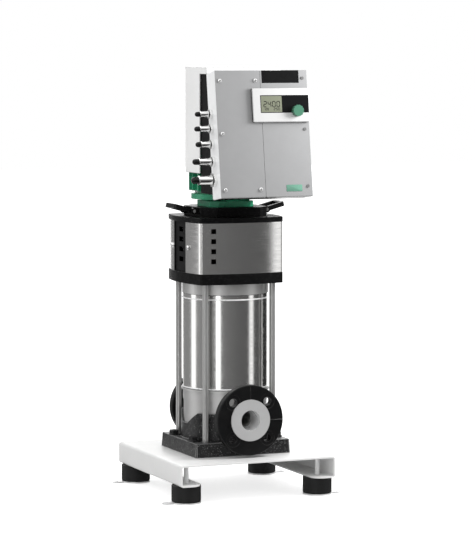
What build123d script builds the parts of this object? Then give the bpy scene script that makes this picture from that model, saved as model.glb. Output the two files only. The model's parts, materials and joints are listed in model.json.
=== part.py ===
from build123d import *
from math import cos, radians, sin, sqrt, tan
import os

# High-pressure vertical multistage centrifugal pump with a frequency converter on its motor.
# Millimetres, +Z up. The origin is on the floor, under the pump shaft.
# The front port faces -Y. The cable glands are on the -X side.

os.makedirs("parts", exist_ok=True)

# Floor stand
frame_width = 352.0
frame_depth = 374.0
frame_height = 46.0
frame_sheet = 4.0
frame_lip = 51.0
frame_bend_radius = 6.0
lip_end_radius = 26.0
damper_radius = 31.0
damper_height = 35.0
damper_spacing_x = 300.0
damper_spacing_y = 300.0
damper_edge_radius = 3.0
floor_plate_thickness = 3.0
floor_hole_radius = 4.5
floor_hole_offset = 45.0
floor_ear_radius = 9.0
damper_stud_radius = 5.0
damper_stud_top_gap = 3.0

# Foot casting
foot_width = 218.0
foot_depth = 204.0
foot_height = 30.0
foot_floor_thickness = 20.0
foot_draft = 3.0
foot_corner_chamfer = 3.0
foot_wall = 14.0
foot_underside_depth = 9.0
foot_underside_wall = 42.0
rod_boss_radius = 13.0
collar_radius = 95.0
collar_top_height = 88.0
collar_dip_depth = 24.0
collar_dip_inner = 14.0
collar_dip_outer = 46.0
port_slot_clearance = 4.0
foot_bolt_spacing_x = 194.0
foot_bolt_spacing_y = 112.0
foot_bolt_radius = 6.0
foot_bolt_head_flats = 18.0
foot_bolt_head_height = 7.5
foot_bolt_end = 3.5
foot_washer_radius = 11.0
foot_washer_thickness = 2.5

# Pressure housing and ports
port_height_on_foot = 80.0
port_bore_radius = 21.5
port_pipe_wall = 5.0
suction_duct_flare = 2.0
port_face_to_face = 280.0
raised_face_radius = 44.0
raised_face_height = 2.0
raised_face_thickness = 5.0
flange_radius = 75.0
flange_thickness = 18.0
flange_bolt_diameter = 110.0
flange_bolt_hole_radius = 9.0
flange_edge_chamfer = 1.5
flange_split_width = 1.6
flange_split_depth = 2.0
flange_spotface_radius = 16.0
flange_spotface_depth = 0.8
bowl_radius = 89.5
bowl_wall = 3.0
bowl_height = 113.0
bowl_base_radius = 10.0
bowl_collar_height = 25.0
bowl_rim_radius = 95.0
bowl_rim_thickness = 4.0
suction_cup_radius = 62.0
suction_cup_wall = 2.5
suction_cup_height = 93.0
suction_eye_radius = 30.0
spider_height = 10.0
spider_arm_width = 5.0

# Sleeve, head and stages
sleeve_radius = 91.0
sleeve_wall = 3.0
sleeve_length = 202.0
sleeve_bead_radius = 92.6
sleeve_bead_height = 3.0
upper_bead_drop = 7.5
lower_seal_height = 1.0
upper_seal_height = 1.0
seal_ring_inset = 1.0
head_radius = 92.5
head_height = 24.0
head_spigot_depth = 19.0
head_chamber_radius = 24.0
head_wall = 12.0
stage_count = 4
stage_pitch = 46.0
stage_radius = 78.0
stage_wall = 2.0
stage_eye_radius = 28.0
guide_vane_count = 7
guide_vane_sweep = 40.0
guide_vane_height = 11.0
guide_vane_thickness = 2.5
impeller_radius = 62.0
impeller_hub_radius = 14.0
impeller_shroud = 2.0
impeller_vane_count = 6
impeller_vane_sweep = -70.0
impeller_vane_thickness = 2.5
impeller_width = 14.0
impeller_lift = 18.0
spacer_window_count = 6
spacer_bottom_rim = 4.0

# Shafts, coupling and mechanical seal
pump_shaft_radius = 9.0
pump_shaft_tail = 16.0
motor_shaft_radius = 12.0
lower_bearing_wall = 4.0
lower_bearing_length = 16.0
seal_seat_wall = 6.0
seal_seat_height = 8.0
seal_ring_wall = 10.0
seal_face_gap = 0.1
coupling_radius = 30.0
coupling_length = 76.0
coupling_lift = 14.0
coupling_split = 1.5
coupling_flat = 22.0
coupling_screw_radius = 3.0
coupling_screw_head_radius = 5.0
coupling_screw_head_height = 5.0
coupling_screw_offset = 20.0
coupling_screw_pitch = 48.0
shaft_end_gap = 6.0
running_clearance = 0.05
fit_clearance = 0.3

# Lantern, guards and lifting handles
tie_rod_radius = 6.5
tie_rod_distance = 154.0
tie_rod_thread_depth = 16.0
tie_rod_nut_flats = 19.0
tie_rod_nut_height = 10.0
tie_rod_end = 3.0
lantern_corner = 94.0
lantern_bulge = 13.0
lantern_corner_radius = 6.0
lantern_lower_band = 23.0
lantern_window = 107.0
lantern_upper_band = 11.0
lantern_lower_bore = 45.0
lantern_upper_bore = 45.0
leg_thickness = 14.0
leg_width = 20.0
leg_spacing = 90.0
guard_sheet = 1.5
guard_inset = 1.0
guard_side_gap = 66.0
guard_vent_size = 10.4
guard_vent_pitch = 21.2
guard_vent_count = 4
guard_vent_x = -67.0
guard_vent_lift = 5.0
guard_screw_head_radius = 5.2
guard_screw_head_height = 3.4
guard_screw_socket = 2.2
guard_screw_radius = 2.0
guard_screw_length = 12.0
grille_half_width = 41.0
grille_vent_width = 24.0
grille_sheet = 1.5
ring_half_width = 76.0
ring_face_half_length = 49.0
ring_height = 20.0
ring_bore = 40.0
handle_pivot_x = 84.0
handle_pivot_drop = 8.0
handle_pin_radius = 3.5
handle_length = 45.0
handle_inner_width = 42.0
handle_bar = 7.0
handle_thickness = 10.0
handle_eye_radius = 6.5
handle_rest_angle = 15.0
handle_lug_thickness = 6.0
handle_lug_radius = 7.0

# Motor
motor_bolt_offset = 37.0
motor_bolt_radius = 4.0
motor_bolt_head_height = 8.0
motor_bolt_head_radius = 6.5
motor_bolt_grip = 9.0
motor_base_half_width = 50.0
motor_base_half_length = 36.0
motor_base_height = 12.0
motor_neck_height = 4.0
motor_neck_radius = 60.0
motor_plate_radius = 73.0
motor_plate_height = 11.0
motor_gap = 7.0
motor_spigot_depth = 6.0
motor_bore_radius = 61.0
motor_wall = 4.0
motor_fin_radius = 77.0
motor_fin_thickness = 3.0
motor_fin_count = 17
motor_fin_arc = 250.0
motor_length = 194.0
motor_pad_half_width = 45.0
motor_pad_height = 130.0
motor_stud_radius = 3.5
motor_stud_circle = 67.0
motor_stud_depth = 12.0
end_shield_thickness = 8.0
bearing_radius = 26.0
bearing_width = 15.0
bearing_lip = 5.0
stator_bore_radius = 39.0
stator_length = 110.0
stator_lift = 36.0
winding_height = 14.0
winding_inner_radius = 43.0
winding_outer_radius = 58.0
air_gap = 0.5
fan_radius = 64.0
fan_hub_radius = 18.0
fan_height = 22.0
fan_blade_count = 7
fan_blade_thickness = 2.5
fan_disc = 3.0
fan_lift = 6.0
hood_radius = 85.0
hood_sheet = 2.0
hood_bottom_gap = 39.0
hood_roof_sheet = 3.0
hood_roof_gap = 29.0
hood_bridge_height = 14.0
hood_front_y = -66.0
hood_slot_width = 4.0
hood_slot_count = 11
hood_slot_pitch = 10.0
hood_slot_radius = 62.0
hood_lug_width = 14.0
hood_lug_height = 12.0

# Frequency converter, tilted back about X
box_tilt = 8.0
box_width = 208.0
box_overreach = 72.0
box_depth = 45.0
box_front_y = -185.0
box_wall = 3.0
box_back_wall = 4.0
box_corner_radius = 4.0
cover_depth = 12.0
cover_wall = 3.0
cover_seam_u = -2.5
cover_seam_gap = 0.6
cover_edge_round = 1.5
cover_boss_radius = 6.0
cover_screw_inset = 10.5
cover_screw_top_inset = 22.0
cover_screw_bottom_inset = 16.5
left_middle_screw_rise = 0.5
right_screw_top_inset = 17.0
right_screw_bottom_inset = 22.0
right_middle_screw_drop = 15.0
cover_inner_screw_offset = 11.0
cover_screw_radius = 2.5
cover_screw_head_radius = 4.5
cover_screw_head_height = 2.8
cover_screw_socket = 2.0
screw_dome_share = 0.75
screw_socket_share = 0.6
cover_screw_engagement = 10.0
small_screw_head_radius = 3.2
small_screw_head_height = 1.5
small_screw_radius = 1.8
bay_left_u = 1.0
bay_right_inset = 18.0
bay_height = 27.0
bay_recess = 1.0
display_width = 129.0
display_top_inset = 38.5
display_height = 71.0
display_thickness = 7.0
display_corner_radius = 2.0
glass_right_inset = 1.5
glass_bottom_inset = 19.2
glass_width = 110.0
glass_height = 37.0
glass_thickness = 2.0
lcd_margin = 1.6
lcd_width = 47.0
lcd_thickness = 0.6
knob_inset = 30.0
knob_bottom_inset = 22.7
knob_radius = 12.0
knob_height = 10.0
knob_travel = 1.0
knob_grip_count = 12
knob_grip_radius = 1.2
knob_shaft_radius = 3.0
knob_shaft_grip = 7.0
encoder_size = 14.0
encoder_depth = 9.0
heat_sink_half_width = 82.0
heat_sink_base = 9.0
heat_sink_fin_count = 11
heat_sink_fin_thickness = 4.0
heat_sink_bottom_gap = 5.0
board_thickness = 1.6
board_standoff = 5.0
board_margin = 12.0
board_chip_size = 34.0
board_chip_height = 8.0
gland_depth = 28.5
gland_heights = [40.7, 79.2, 115.2, 147.7, 178.3]
gland_nut_flats = [28.0, 20.5, 19.0, 18.5, 18.5]
gland_body_radii = [10.0, 7.8, 6.9, 6.8, 6.5]
gland_plug_radii = [7.2, 6.0, 5.4, 5.3, 5.2]
gland_lengths = [53.0, 48.0, 39.0, 40.0, 37.0]
gland_nut_height = 6.5
gland_groove = 1.6
gland_neck_share = 0.8
gland_body_share = 0.72
gland_body_chamfer = 0.2

# Heights and places worked out from the sizes above
frame_bottom = floor_plate_thickness + damper_height
frame_top = frame_bottom + frame_height
foot_floor = frame_top + foot_floor_thickness
foot_top = frame_top + foot_height
collar_top = frame_top + collar_top_height
collar_bore = bowl_radius + fit_clearance
port_z = frame_top + port_height_on_foot
port_pipe_radius = port_bore_radius + port_pipe_wall
port_face_y = port_face_to_face / 2 + raised_face_height
sleeve_bore = sleeve_radius - sleeve_wall
bowl_bottom = foot_floor
bowl_floor = bowl_bottom + bowl_wall
bowl_rim_bottom = bowl_bottom + bowl_height
bowl_top = bowl_rim_bottom + bowl_rim_thickness
bowl_shoulder = bowl_rim_bottom - bowl_collar_height + bowl_rim_thickness
sleeve_bottom = bowl_top + lower_seal_height
sleeve_top = sleeve_bottom + sleeve_length
head_bottom = sleeve_top + upper_seal_height
head_top = head_bottom + head_height
spigot_bottom = sleeve_top - head_spigot_depth
spigot_radius = sleeve_bore - fit_clearance
cup_top = bowl_floor + suction_cup_height
stack_top = cup_top + stage_count * stage_pitch
lower_bearing_radius = pump_shaft_radius + running_clearance + lower_bearing_wall
seat_bottom = head_top - head_wall - seal_seat_height
seat_radius = pump_shaft_radius + fit_clearance + seal_seat_wall
band_top = head_top + lantern_lower_band
window_top = band_top + lantern_window
lantern_top = window_top + lantern_upper_band
ring_top = lantern_top + ring_height
coupling_bottom = band_top + coupling_lift
pump_shaft_top = coupling_bottom + coupling_length / 2
motor_shaft_bottom = pump_shaft_top + shaft_end_gap
motor_base_top = ring_top + motor_base_height
motor_plate_bottom = motor_base_top + motor_neck_height
motor_plate_top = motor_plate_bottom + motor_plate_height
motor_bottom = motor_plate_top + motor_gap
motor_top = motor_bottom + motor_length
shield_top = motor_top + end_shield_thickness
stator_bottom = motor_bottom + stator_lift
stator_top = stator_bottom + stator_length
fan_bottom = shield_top + fan_lift
fan_top = fan_bottom + fan_height
hood_bottom = motor_bottom + hood_bottom_gap
hood_top = fan_top + hood_roof_gap + hood_roof_sheet
bridge_bottom = hood_top - hood_bridge_height
hood_bore = hood_radius - hood_sheet
shaft_bore = pump_shaft_radius + running_clearance
stage_levels = [cup_top + stage_pitch * step for step in range(stage_count)]


def hexagon(flats):
    """Draw a hexagon by its width across flats."""
    RegularPolygon(radius=flats / 2, side_count=6, major_radius=False)


def annulus(outer, inner):
    """Draw a ring by its two radii."""
    Circle(outer)
    Circle(inner, mode=Mode.SUBTRACT)


def bulged_square(inset):
    """Return the lantern's plan, drawn in by an inset: four shallow arcs with rounded corners."""
    corner = lantern_corner - inset
    middle = corner + lantern_bulge
    with BuildSketch() as plan:
        with BuildLine():
            ThreePointArc((corner, -corner), (middle, 0), (corner, corner))
            ThreePointArc((corner, corner), (0, middle), (-corner, corner))
            ThreePointArc((-corner, corner), (-middle, 0), (-corner, -corner))
            ThreePointArc((-corner, -corner), (0, -middle), (corner, -corner))
        make_face()
        fillet(plan.vertices(), radius=lantern_corner_radius)
    return plan.sketch_local


def curved_vane(inner, outer, sweep, thickness):
    """Return one vane from an inner to an outer radius, swept round by an angle in degrees."""
    points = []
    for share in (0, 0.5, 1):
        radius = inner + share * (outer - inner)
        angle = radians(sweep * share)
        points.append((radius * cos(angle), radius * sin(angle)))
    with BuildSketch() as plan:
        with BuildLine():
            ThreePointArc(points[0], points[1], points[2])
        trace(line_width=thickness)
        Circle(outer, mode=Mode.INTERSECT)
    return plan.sketch_local


def octagon(half_width, half_length):
    """Return an octagon with its flats at half_width, each 2 * half_length long."""
    with BuildSketch() as plan:
        Rectangle(2 * half_width, 2 * half_width)
        chamfer(plan.vertices(), half_width - half_length)
    return plan.sketch_local


def export(builder, name):
    """Label a finished piece and write it."""
    builder.part.label = name
    export_step(builder.part, f"parts/{name}.step")


# Floor plates with one bolt ear each, pointing outwards
with BuildPart() as damper_floor_plates:
    for side in (-1, 1):
        for end in (-1, 1):
            damper_x = side * damper_spacing_x / 2
            damper_y = end * damper_spacing_y / 2
            ear_x = damper_x + side * floor_hole_offset
            with BuildSketch():
                with Locations((damper_x, damper_y)):
                    Circle(damper_radius)
                with Locations((damper_x + side * floor_hole_offset / 2, damper_y)):
                    Rectangle(floor_hole_offset, 2 * floor_ear_radius)
                with Locations((ear_x, damper_y)):
                    Circle(floor_ear_radius)
                    Circle(floor_hole_radius, mode=Mode.SUBTRACT)
            extrude(amount=floor_plate_thickness)
export(damper_floor_plates, "damper_floor_plates")

# Rubber dampers
with BuildPart() as damper_rubbers:
    with BuildSketch(Plane.XY.offset(floor_plate_thickness)):
        with GridLocations(damper_spacing_x, damper_spacing_y, 2, 2):
            Circle(damper_radius)
    extrude(amount=damper_height)
    fillet(damper_rubbers.edges().filter_by(GeomType.CIRCLE).group_by(Axis.Z)[0], damper_edge_radius)
export(damper_rubbers, "damper_rubbers")

# Threaded studs of the dampers, up through the lips of the frame
stud_top = frame_top - frame_sheet - damper_stud_top_gap
with BuildPart() as damper_studs:
    with BuildSketch(Plane.XY.offset(frame_bottom)):
        with GridLocations(damper_spacing_x, damper_spacing_y, 2, 2):
            Circle(damper_stud_radius)
    extrude(amount=stud_top - frame_bottom)
export(damper_studs, "damper_studs")

# Frame of one folded sheet: top, two sides and two inward lips
lip_inner_x = frame_width / 2 - frame_lip
with BuildPart() as base_frame:
    with BuildSketch(Plane.XZ):
        with Locations((0, frame_bottom + frame_height / 2)):
            RectangleRounded(frame_width, frame_height, frame_bend_radius)
            RectangleRounded(
                frame_width - 2 * frame_sheet,
                frame_height - 2 * frame_sheet,
                frame_bend_radius - frame_sheet,
                mode=Mode.SUBTRACT,
            )
        with Locations((0, frame_bottom)):
            Rectangle(2 * lip_inner_x, 2 * frame_sheet + 1, mode=Mode.SUBTRACT)
    extrude(amount=frame_depth / 2, both=True)
    lip_corners = base_frame.edges().filter_by(Axis.Z).filter_by(
        lambda edge: abs(edge.center().X) < lip_inner_x + 0.1 and edge.center().Z < foot_floor - frame_height
    )
    fillet(lip_corners, lip_end_radius)
    with BuildSketch(Plane.XY.offset(frame_bottom)):
        with GridLocations(damper_spacing_x, damper_spacing_y, 2, 2):
            Circle(damper_stud_radius + fit_clearance)
    extrude(amount=frame_sheet, mode=Mode.SUBTRACT)
    with BuildSketch(Plane.XY.offset(frame_top)):
        with GridLocations(foot_bolt_spacing_x, foot_bolt_spacing_y, 2, 2):
            Circle(foot_bolt_radius + fit_clearance)
    extrude(amount=-frame_sheet, mode=Mode.SUBTRACT)
export(base_frame, "base_frame")

# Cast foot: plate with drafted sides, collar with two dips, slots for the ports
with BuildPart() as foot_casting:
    with BuildSketch(Plane.XY.offset(frame_top)):
        Rectangle(foot_width, foot_depth)
        chamfer(vertices(), foot_corner_chamfer)
    extrude(amount=foot_height, taper=foot_draft)
    with BuildSketch(Plane.XY.offset(foot_top)):
        add(octagon(foot_depth / 2 - foot_wall, collar_radius - 2 * foot_wall))
    extrude(amount=foot_floor - foot_top, mode=Mode.SUBTRACT)
    with BuildSketch(Plane.XY.offset(foot_floor)):
        Circle(collar_radius)
    extrude(amount=collar_top - foot_floor)
    with BuildSketch(Plane.XY.offset(foot_floor)):
        with GridLocations(tie_rod_distance, tie_rod_distance, 2, 2):
            Circle(rod_boss_radius)
    extrude(amount=foot_height - foot_floor_thickness)
    with BuildSketch(Plane.XY.offset(foot_floor)):
        Circle(collar_bore)
    extrude(amount=collar_top - foot_floor, mode=Mode.SUBTRACT)
    with BuildSketch(Plane.YZ):
        with BuildLine():
            Polyline(
                (-collar_dip_outer, collar_top),
                (-collar_dip_inner, collar_top - collar_dip_depth),
                (collar_dip_inner, collar_top - collar_dip_depth),
                (collar_dip_outer, collar_top),
                close=True,
            )
        make_face()
    extrude(amount=collar_radius + 1, both=True, mode=Mode.SUBTRACT)
    slot_radius = port_pipe_radius + port_slot_clearance
    with BuildSketch(Plane.XZ):
        with Locations((0, port_z)):
            Circle(slot_radius)
        with Locations((0, (port_z + collar_top) / 2 + slot_radius)):
            Rectangle(2 * slot_radius, collar_top - port_z + 2 * slot_radius)
    extrude(amount=collar_radius + 1, both=True, mode=Mode.SUBTRACT)
    with BuildSketch(Plane.XY.offset(foot_top)):
        with GridLocations(tie_rod_distance, tie_rod_distance, 2, 2):
            Circle(tie_rod_radius)
    extrude(amount=-tie_rod_thread_depth, mode=Mode.SUBTRACT)
    with BuildSketch(Plane.XY.offset(foot_top)):
        with GridLocations(foot_bolt_spacing_x, foot_bolt_spacing_y, 2, 2):
            Circle(foot_bolt_radius + fit_clearance)
    extrude(amount=-foot_height, mode=Mode.SUBTRACT)
    with BuildSketch(Plane.XY.offset(frame_top)):
        Rectangle(foot_width - 2 * foot_underside_wall, foot_depth - 2 * foot_wall)
    extrude(amount=foot_underside_depth, mode=Mode.SUBTRACT)
export(foot_casting, "foot_casting")

# Bolts that hold the foot to the frame, with their washers and nuts
with BuildPart() as foot_bolts:
    with BuildSketch(Plane.XY.offset(foot_top)):
        with GridLocations(foot_bolt_spacing_x, foot_bolt_spacing_y, 2, 2):
            Circle(foot_washer_radius)
    extrude(amount=foot_washer_thickness)
    with BuildSketch(Plane.XY.offset(foot_top + foot_washer_thickness)):
        with GridLocations(foot_bolt_spacing_x, foot_bolt_spacing_y, 2, 2):
            hexagon(foot_bolt_head_flats)
    extrude(amount=foot_bolt_head_height)
    nut_top = frame_top - frame_sheet
    with BuildSketch(Plane.XY.offset(foot_top)):
        with GridLocations(foot_bolt_spacing_x, foot_bolt_spacing_y, 2, 2):
            Circle(foot_bolt_radius)
    extrude(amount=nut_top - foot_bolt_head_height - foot_bolt_end - foot_top)
    with BuildSketch(Plane.XY.offset(nut_top)):
        with GridLocations(foot_bolt_spacing_x, foot_bolt_spacing_y, 2, 2):
            hexagon(foot_bolt_head_flats)
    extrude(amount=-foot_bolt_head_height)
export(foot_bolts, "foot_bolts")

# Pressure bowl: pressed shell, two port pipes with raised faces, suction cup and bearing spider
with BuildPart() as port_bowl:
    with BuildSketch(Plane.XY.offset(bowl_bottom)):
        Circle(bowl_radius)
    extrude(amount=bowl_shoulder - bowl_bottom)
    fillet(port_bowl.edges().group_by(Axis.Z)[0], bowl_base_radius)
    with BuildSketch(Plane.XY.offset(bowl_shoulder)):
        Circle(sleeve_radius)
    extrude(amount=bowl_rim_bottom - bowl_shoulder)
    with BuildSketch(Plane.XY.offset(bowl_rim_bottom)):
        Circle(bowl_rim_radius)
    extrude(amount=bowl_rim_thickness)
    with BuildSketch(Plane.XZ):
        with Locations((0, port_z)):
            Circle(port_pipe_radius)
    extrude(amount=port_face_y, both=True)
    for facing in (-1, 1):
        with BuildSketch(Plane.XZ.offset(facing * port_face_y)):
            with Locations((0, port_z)):
                Circle(raised_face_radius)
        extrude(amount=-facing * raised_face_thickness)
    with BuildSketch(Plane.XY.offset(bowl_floor)):
        Circle(bowl_radius - bowl_wall)
    extrude(amount=bowl_shoulder - bowl_floor, mode=Mode.SUBTRACT)
    with BuildSketch(Plane.XY.offset(bowl_shoulder)):
        Circle(sleeve_bore)
    extrude(amount=bowl_top - bowl_shoulder, mode=Mode.SUBTRACT)
    with BuildSketch(Plane.XY.offset(bowl_floor)):
        Circle(suction_cup_radius)
    extrude(amount=suction_cup_height)
    with BuildSketch(Plane.XZ):
        with Locations((0, port_z)):
            Circle(port_pipe_radius)
    extrude(amount=bowl_radius)
    with BuildSketch(Plane.XY.offset(bowl_floor)):
        Circle(suction_cup_radius - suction_cup_wall)
    extrude(amount=suction_cup_height - suction_cup_wall, mode=Mode.SUBTRACT)
    with BuildSketch(Plane.XY.offset(cup_top)):
        Circle(suction_eye_radius)
    extrude(amount=-suction_cup_wall, mode=Mode.SUBTRACT)
    with BuildSketch(Plane.XZ.offset(bowl_radius - bowl_wall)):
        with Locations((0, port_z)):
            Circle(port_bore_radius)
    extrude(amount=port_face_y - bowl_radius + bowl_wall, mode=Mode.SUBTRACT)
    with BuildSketch(Plane.XZ):
        with Locations((0, port_z)):
            Circle(port_bore_radius + suction_duct_flare)
    extrude(amount=bowl_radius - bowl_wall, mode=Mode.SUBTRACT)
    with BuildSketch(Plane.XZ.offset(-suction_cup_radius)):
        with Locations((0, port_z)):
            Circle(port_bore_radius)
    extrude(amount=suction_cup_radius - port_face_y, mode=Mode.SUBTRACT)
    spider_ring_radius = lower_bearing_radius + lower_bearing_wall
    arm_length = suction_eye_radius - lower_bearing_radius
    with BuildSketch(Plane.XY.offset(cup_top - spider_height)):
        Circle(spider_ring_radius)
        with PolarLocations(lower_bearing_radius + arm_length / 2, 3):
            Rectangle(arm_length + 2, spider_arm_width)
        Circle(lower_bearing_radius, mode=Mode.SUBTRACT)
    extrude(amount=spider_height)
export(port_bowl, "port_bowl")

# Loose flange of the front port, split lines at twelve and three o'clock
with BuildPart() as front_flange:
    flange_front = port_face_y - raised_face_height
    with BuildSketch(Plane.XZ.offset(flange_front)):
        with Locations((0, port_z)):
            Circle(flange_radius)
            Circle(port_pipe_radius + fit_clearance, mode=Mode.SUBTRACT)
            with PolarLocations(flange_bolt_diameter / 2, 4, start_angle=45):
                Circle(flange_bolt_hole_radius, mode=Mode.SUBTRACT)
    extrude(amount=-flange_thickness)
    with BuildSketch(Plane.XZ.offset(flange_front)):
        with Locations((0, port_z)):
            Circle(raised_face_radius + fit_clearance)
    extrude(amount=raised_face_height - raised_face_thickness, mode=Mode.SUBTRACT)
    rims = front_flange.edges().filter_by(GeomType.CIRCLE).filter_by(
        lambda edge: abs(edge.radius - flange_radius) < 0.01
    )
    chamfer(rims, flange_edge_chamfer)
    with BuildSketch(Plane.XZ.offset(flange_front)):
        with Locations((0, port_z + flange_radius / 2)):
            Rectangle(flange_split_width, flange_radius + 1)
        with Locations((flange_radius / 2, port_z)):
            Rectangle(flange_radius + 1, flange_split_width)
    extrude(amount=-flange_split_depth, mode=Mode.SUBTRACT)
    with BuildSketch(Plane.XZ.offset(flange_front)):
        with Locations((0, port_z)):
            with PolarLocations(flange_bolt_diameter / 2, 4, start_angle=45):
                Circle(flange_spotface_radius)
            Circle(flange_radius - 2 * flange_edge_chamfer, mode=Mode.INTERSECT)
    extrude(amount=-flange_spotface_depth, mode=Mode.SUBTRACT)
export(front_flange, "front_flange")

# Loose flange of the rear port
with BuildPart() as rear_flange:
    mirror(front_flange.part, about=Plane.XZ)
export(rear_flange, "rear_flange")

# Sealing rings at both ends of the sleeve
seal_ring_radius = sleeve_radius - seal_ring_inset
with BuildPart() as sleeve_seals:
    with BuildSketch(Plane.XY.offset(bowl_top)):
        annulus(seal_ring_radius, sleeve_bore)
    extrude(amount=lower_seal_height)
    with BuildSketch(Plane.XY.offset(sleeve_top)):
        annulus(seal_ring_radius, spigot_radius + running_clearance)
    extrude(amount=upper_seal_height)
export(sleeve_seals, "sleeve_seals")

# Outer sleeve with a rolled bead near each end
with BuildPart() as outer_sleeve:
    with BuildSketch(Plane.XY.offset(sleeve_bottom)):
        annulus(sleeve_radius, sleeve_bore)
    extrude(amount=sleeve_length)
    for bead_bottom in (sleeve_bottom, sleeve_top - upper_bead_drop - sleeve_bead_height):
        with BuildSketch(Plane.XY.offset(bead_bottom)):
            annulus(sleeve_bead_radius, sleeve_bore)
        extrude(amount=sleeve_bead_height)
    bead_edges = outer_sleeve.edges().filter_by(GeomType.CIRCLE).filter_by(
        lambda edge: abs(edge.radius - sleeve_bead_radius) < 0.01
    )
    fillet(bead_edges, sleeve_bead_height / 3)
export(outer_sleeve, "outer_sleeve")

# Casing head: band on top of the sleeve, spigot into it, chamber for the mechanical seal
with BuildPart() as casing_head:
    with BuildSketch(Plane.XY.offset(spigot_bottom)):
        annulus(spigot_radius, head_chamber_radius)
    extrude(amount=head_bottom - spigot_bottom)
    with BuildSketch(Plane.XY.offset(head_bottom)):
        annulus(head_radius, head_chamber_radius)
    extrude(amount=head_height)
    with BuildSketch(Plane.XY.offset(head_top)):
        annulus(head_chamber_radius, pump_shaft_radius + 2 * fit_clearance)
    extrude(amount=-head_wall)
    with BuildSketch(Plane.XY.offset(head_top - head_wall)):
        annulus(head_chamber_radius, seat_radius)
    extrude(amount=-seal_seat_height)
    with BuildSketch(Plane.XY.offset(spigot_bottom)):
        annulus(sleeve_bore - sleeve_wall - head_wall, head_chamber_radius + head_wall / 2)
    extrude(amount=head_bottom - spigot_bottom, mode=Mode.SUBTRACT)
export(casing_head, "casing_head")

# Stationary ring of the mechanical seal, pressed into the head
with BuildPart() as seal_seat:
    with BuildSketch(Plane.XY.offset(seat_bottom)):
        annulus(seat_radius, pump_shaft_radius + fit_clearance)
    extrude(amount=seal_seat_height)
export(seal_seat, "seal_seat")

# Stage bowls: a cup with an eye and curved return vanes for each impeller
with BuildPart() as stage_bowls:
    guide_vane = curved_vane(
        stage_eye_radius + stage_wall, impeller_radius, guide_vane_sweep, guide_vane_thickness
    )
    for level in stage_levels:
        with BuildSketch(Plane.XY.offset(level)):
            annulus(stage_radius, stage_eye_radius)
        extrude(amount=stage_wall)
        with BuildSketch(Plane.XY.offset(level + stage_wall)):
            annulus(stage_radius, stage_radius - stage_wall)
        extrude(amount=stage_pitch - stage_wall - running_clearance)
        with BuildSketch(Plane.XY.offset(level + stage_wall)):
            with PolarLocations(0, guide_vane_count):
                add(guide_vane)
        extrude(amount=guide_vane_height)
export(stage_bowls, "stage_bowls")

# Windowed spacer that holds the stages down and lets the water out to the sleeve
with BuildPart() as stack_spacer:
    with BuildSketch(Plane.XY.offset(stack_top)):
        annulus(stage_radius, stage_radius - 2 * stage_wall)
    extrude(amount=spigot_bottom - stack_top)
    with BuildSketch(Plane.XY.offset(stack_top + spacer_bottom_rim)):
        with PolarLocations(stage_radius, spacer_window_count):
            Rectangle(6 * stage_wall, stage_radius / 2)
    extrude(amount=spigot_bottom - stack_top - 2 * spacer_bottom_rim, mode=Mode.SUBTRACT)
export(stack_spacer, "stack_spacer")

# Plain bearing of the pump shaft, in the spider of the suction cup
with BuildPart() as lower_bearing:
    with BuildSketch(Plane.XY.offset(cup_top - spider_height)):
        annulus(lower_bearing_radius, shaft_bore)
    extrude(amount=lower_bearing_length)
export(lower_bearing, "lower_bearing")

# Impellers: shrouds, hub and backward-curved vanes
impeller_seats = [level + impeller_lift for level in stage_levels]
with BuildPart() as impellers:
    impeller_vane = curved_vane(
        impeller_hub_radius, impeller_radius, impeller_vane_sweep, impeller_vane_thickness
    )
    for seat in impeller_seats:
        with BuildSketch(Plane.XY.offset(seat)):
            annulus(impeller_radius, stage_eye_radius)
        extrude(amount=impeller_shroud)
        with BuildSketch(Plane.XY.offset(seat + impeller_width)):
            annulus(impeller_radius, shaft_bore)
        extrude(amount=impeller_shroud)
        with BuildSketch(Plane.XY.offset(seat + impeller_shroud)):
            with PolarLocations(0, impeller_vane_count):
                add(impeller_vane)
        extrude(amount=impeller_width - impeller_shroud)
        with BuildSketch(Plane.XY.offset(seat)):
            annulus(impeller_hub_radius, shaft_bore)
        extrude(amount=stage_pitch - running_clearance)
export(impellers, "impellers")

# Pump shaft
with BuildPart() as pump_shaft:
    with BuildSketch(Plane.XY.offset(cup_top - pump_shaft_tail)):
        Circle(pump_shaft_radius)
    extrude(amount=pump_shaft_top - cup_top + pump_shaft_tail)
    chamfer(pump_shaft.edges().filter_by(GeomType.CIRCLE), pump_shaft_radius / 9)
export(pump_shaft, "pump_shaft")

# Rotating ring of the mechanical seal, running under the seat
with BuildPart() as seal_rotor:
    seal_ring_bottom = impeller_seats[-1] + stage_pitch
    with BuildSketch(Plane.XY.offset(seal_ring_bottom)):
        annulus(shaft_bore + seal_ring_wall, shaft_bore)
    extrude(amount=seat_bottom - seal_face_gap - seal_ring_bottom)
export(seal_rotor, "seal_rotor")

# Split coupling that joins the two shafts
screw_levels = [
    coupling_bottom + coupling_length / 2 - coupling_screw_pitch / 2,
    coupling_bottom + coupling_length / 2 + coupling_screw_pitch / 2,
]
with BuildPart() as coupling_halves:
    with BuildSketch(Plane.XY.offset(coupling_bottom)):
        Circle(coupling_radius)
        Rectangle(2 * coupling_flat, 2 * coupling_radius, mode=Mode.INTERSECT)
        Circle(shaft_bore, mode=Mode.SUBTRACT)
        Rectangle(coupling_split, 2 * coupling_radius, mode=Mode.SUBTRACT)
    extrude(amount=coupling_length)
    with BuildSketch(Plane.XY.offset(pump_shaft_top)):
        Circle(motor_shaft_radius + running_clearance)
    extrude(amount=coupling_length, mode=Mode.SUBTRACT)
    for screw_level in screw_levels:
        with BuildSketch(Plane.YZ):
            with Locations((-coupling_screw_offset, screw_level), (coupling_screw_offset, screw_level)):
                Circle(coupling_screw_radius + running_clearance)
        extrude(amount=coupling_radius, both=True, mode=Mode.SUBTRACT)
export(coupling_halves, "coupling_halves")

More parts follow.
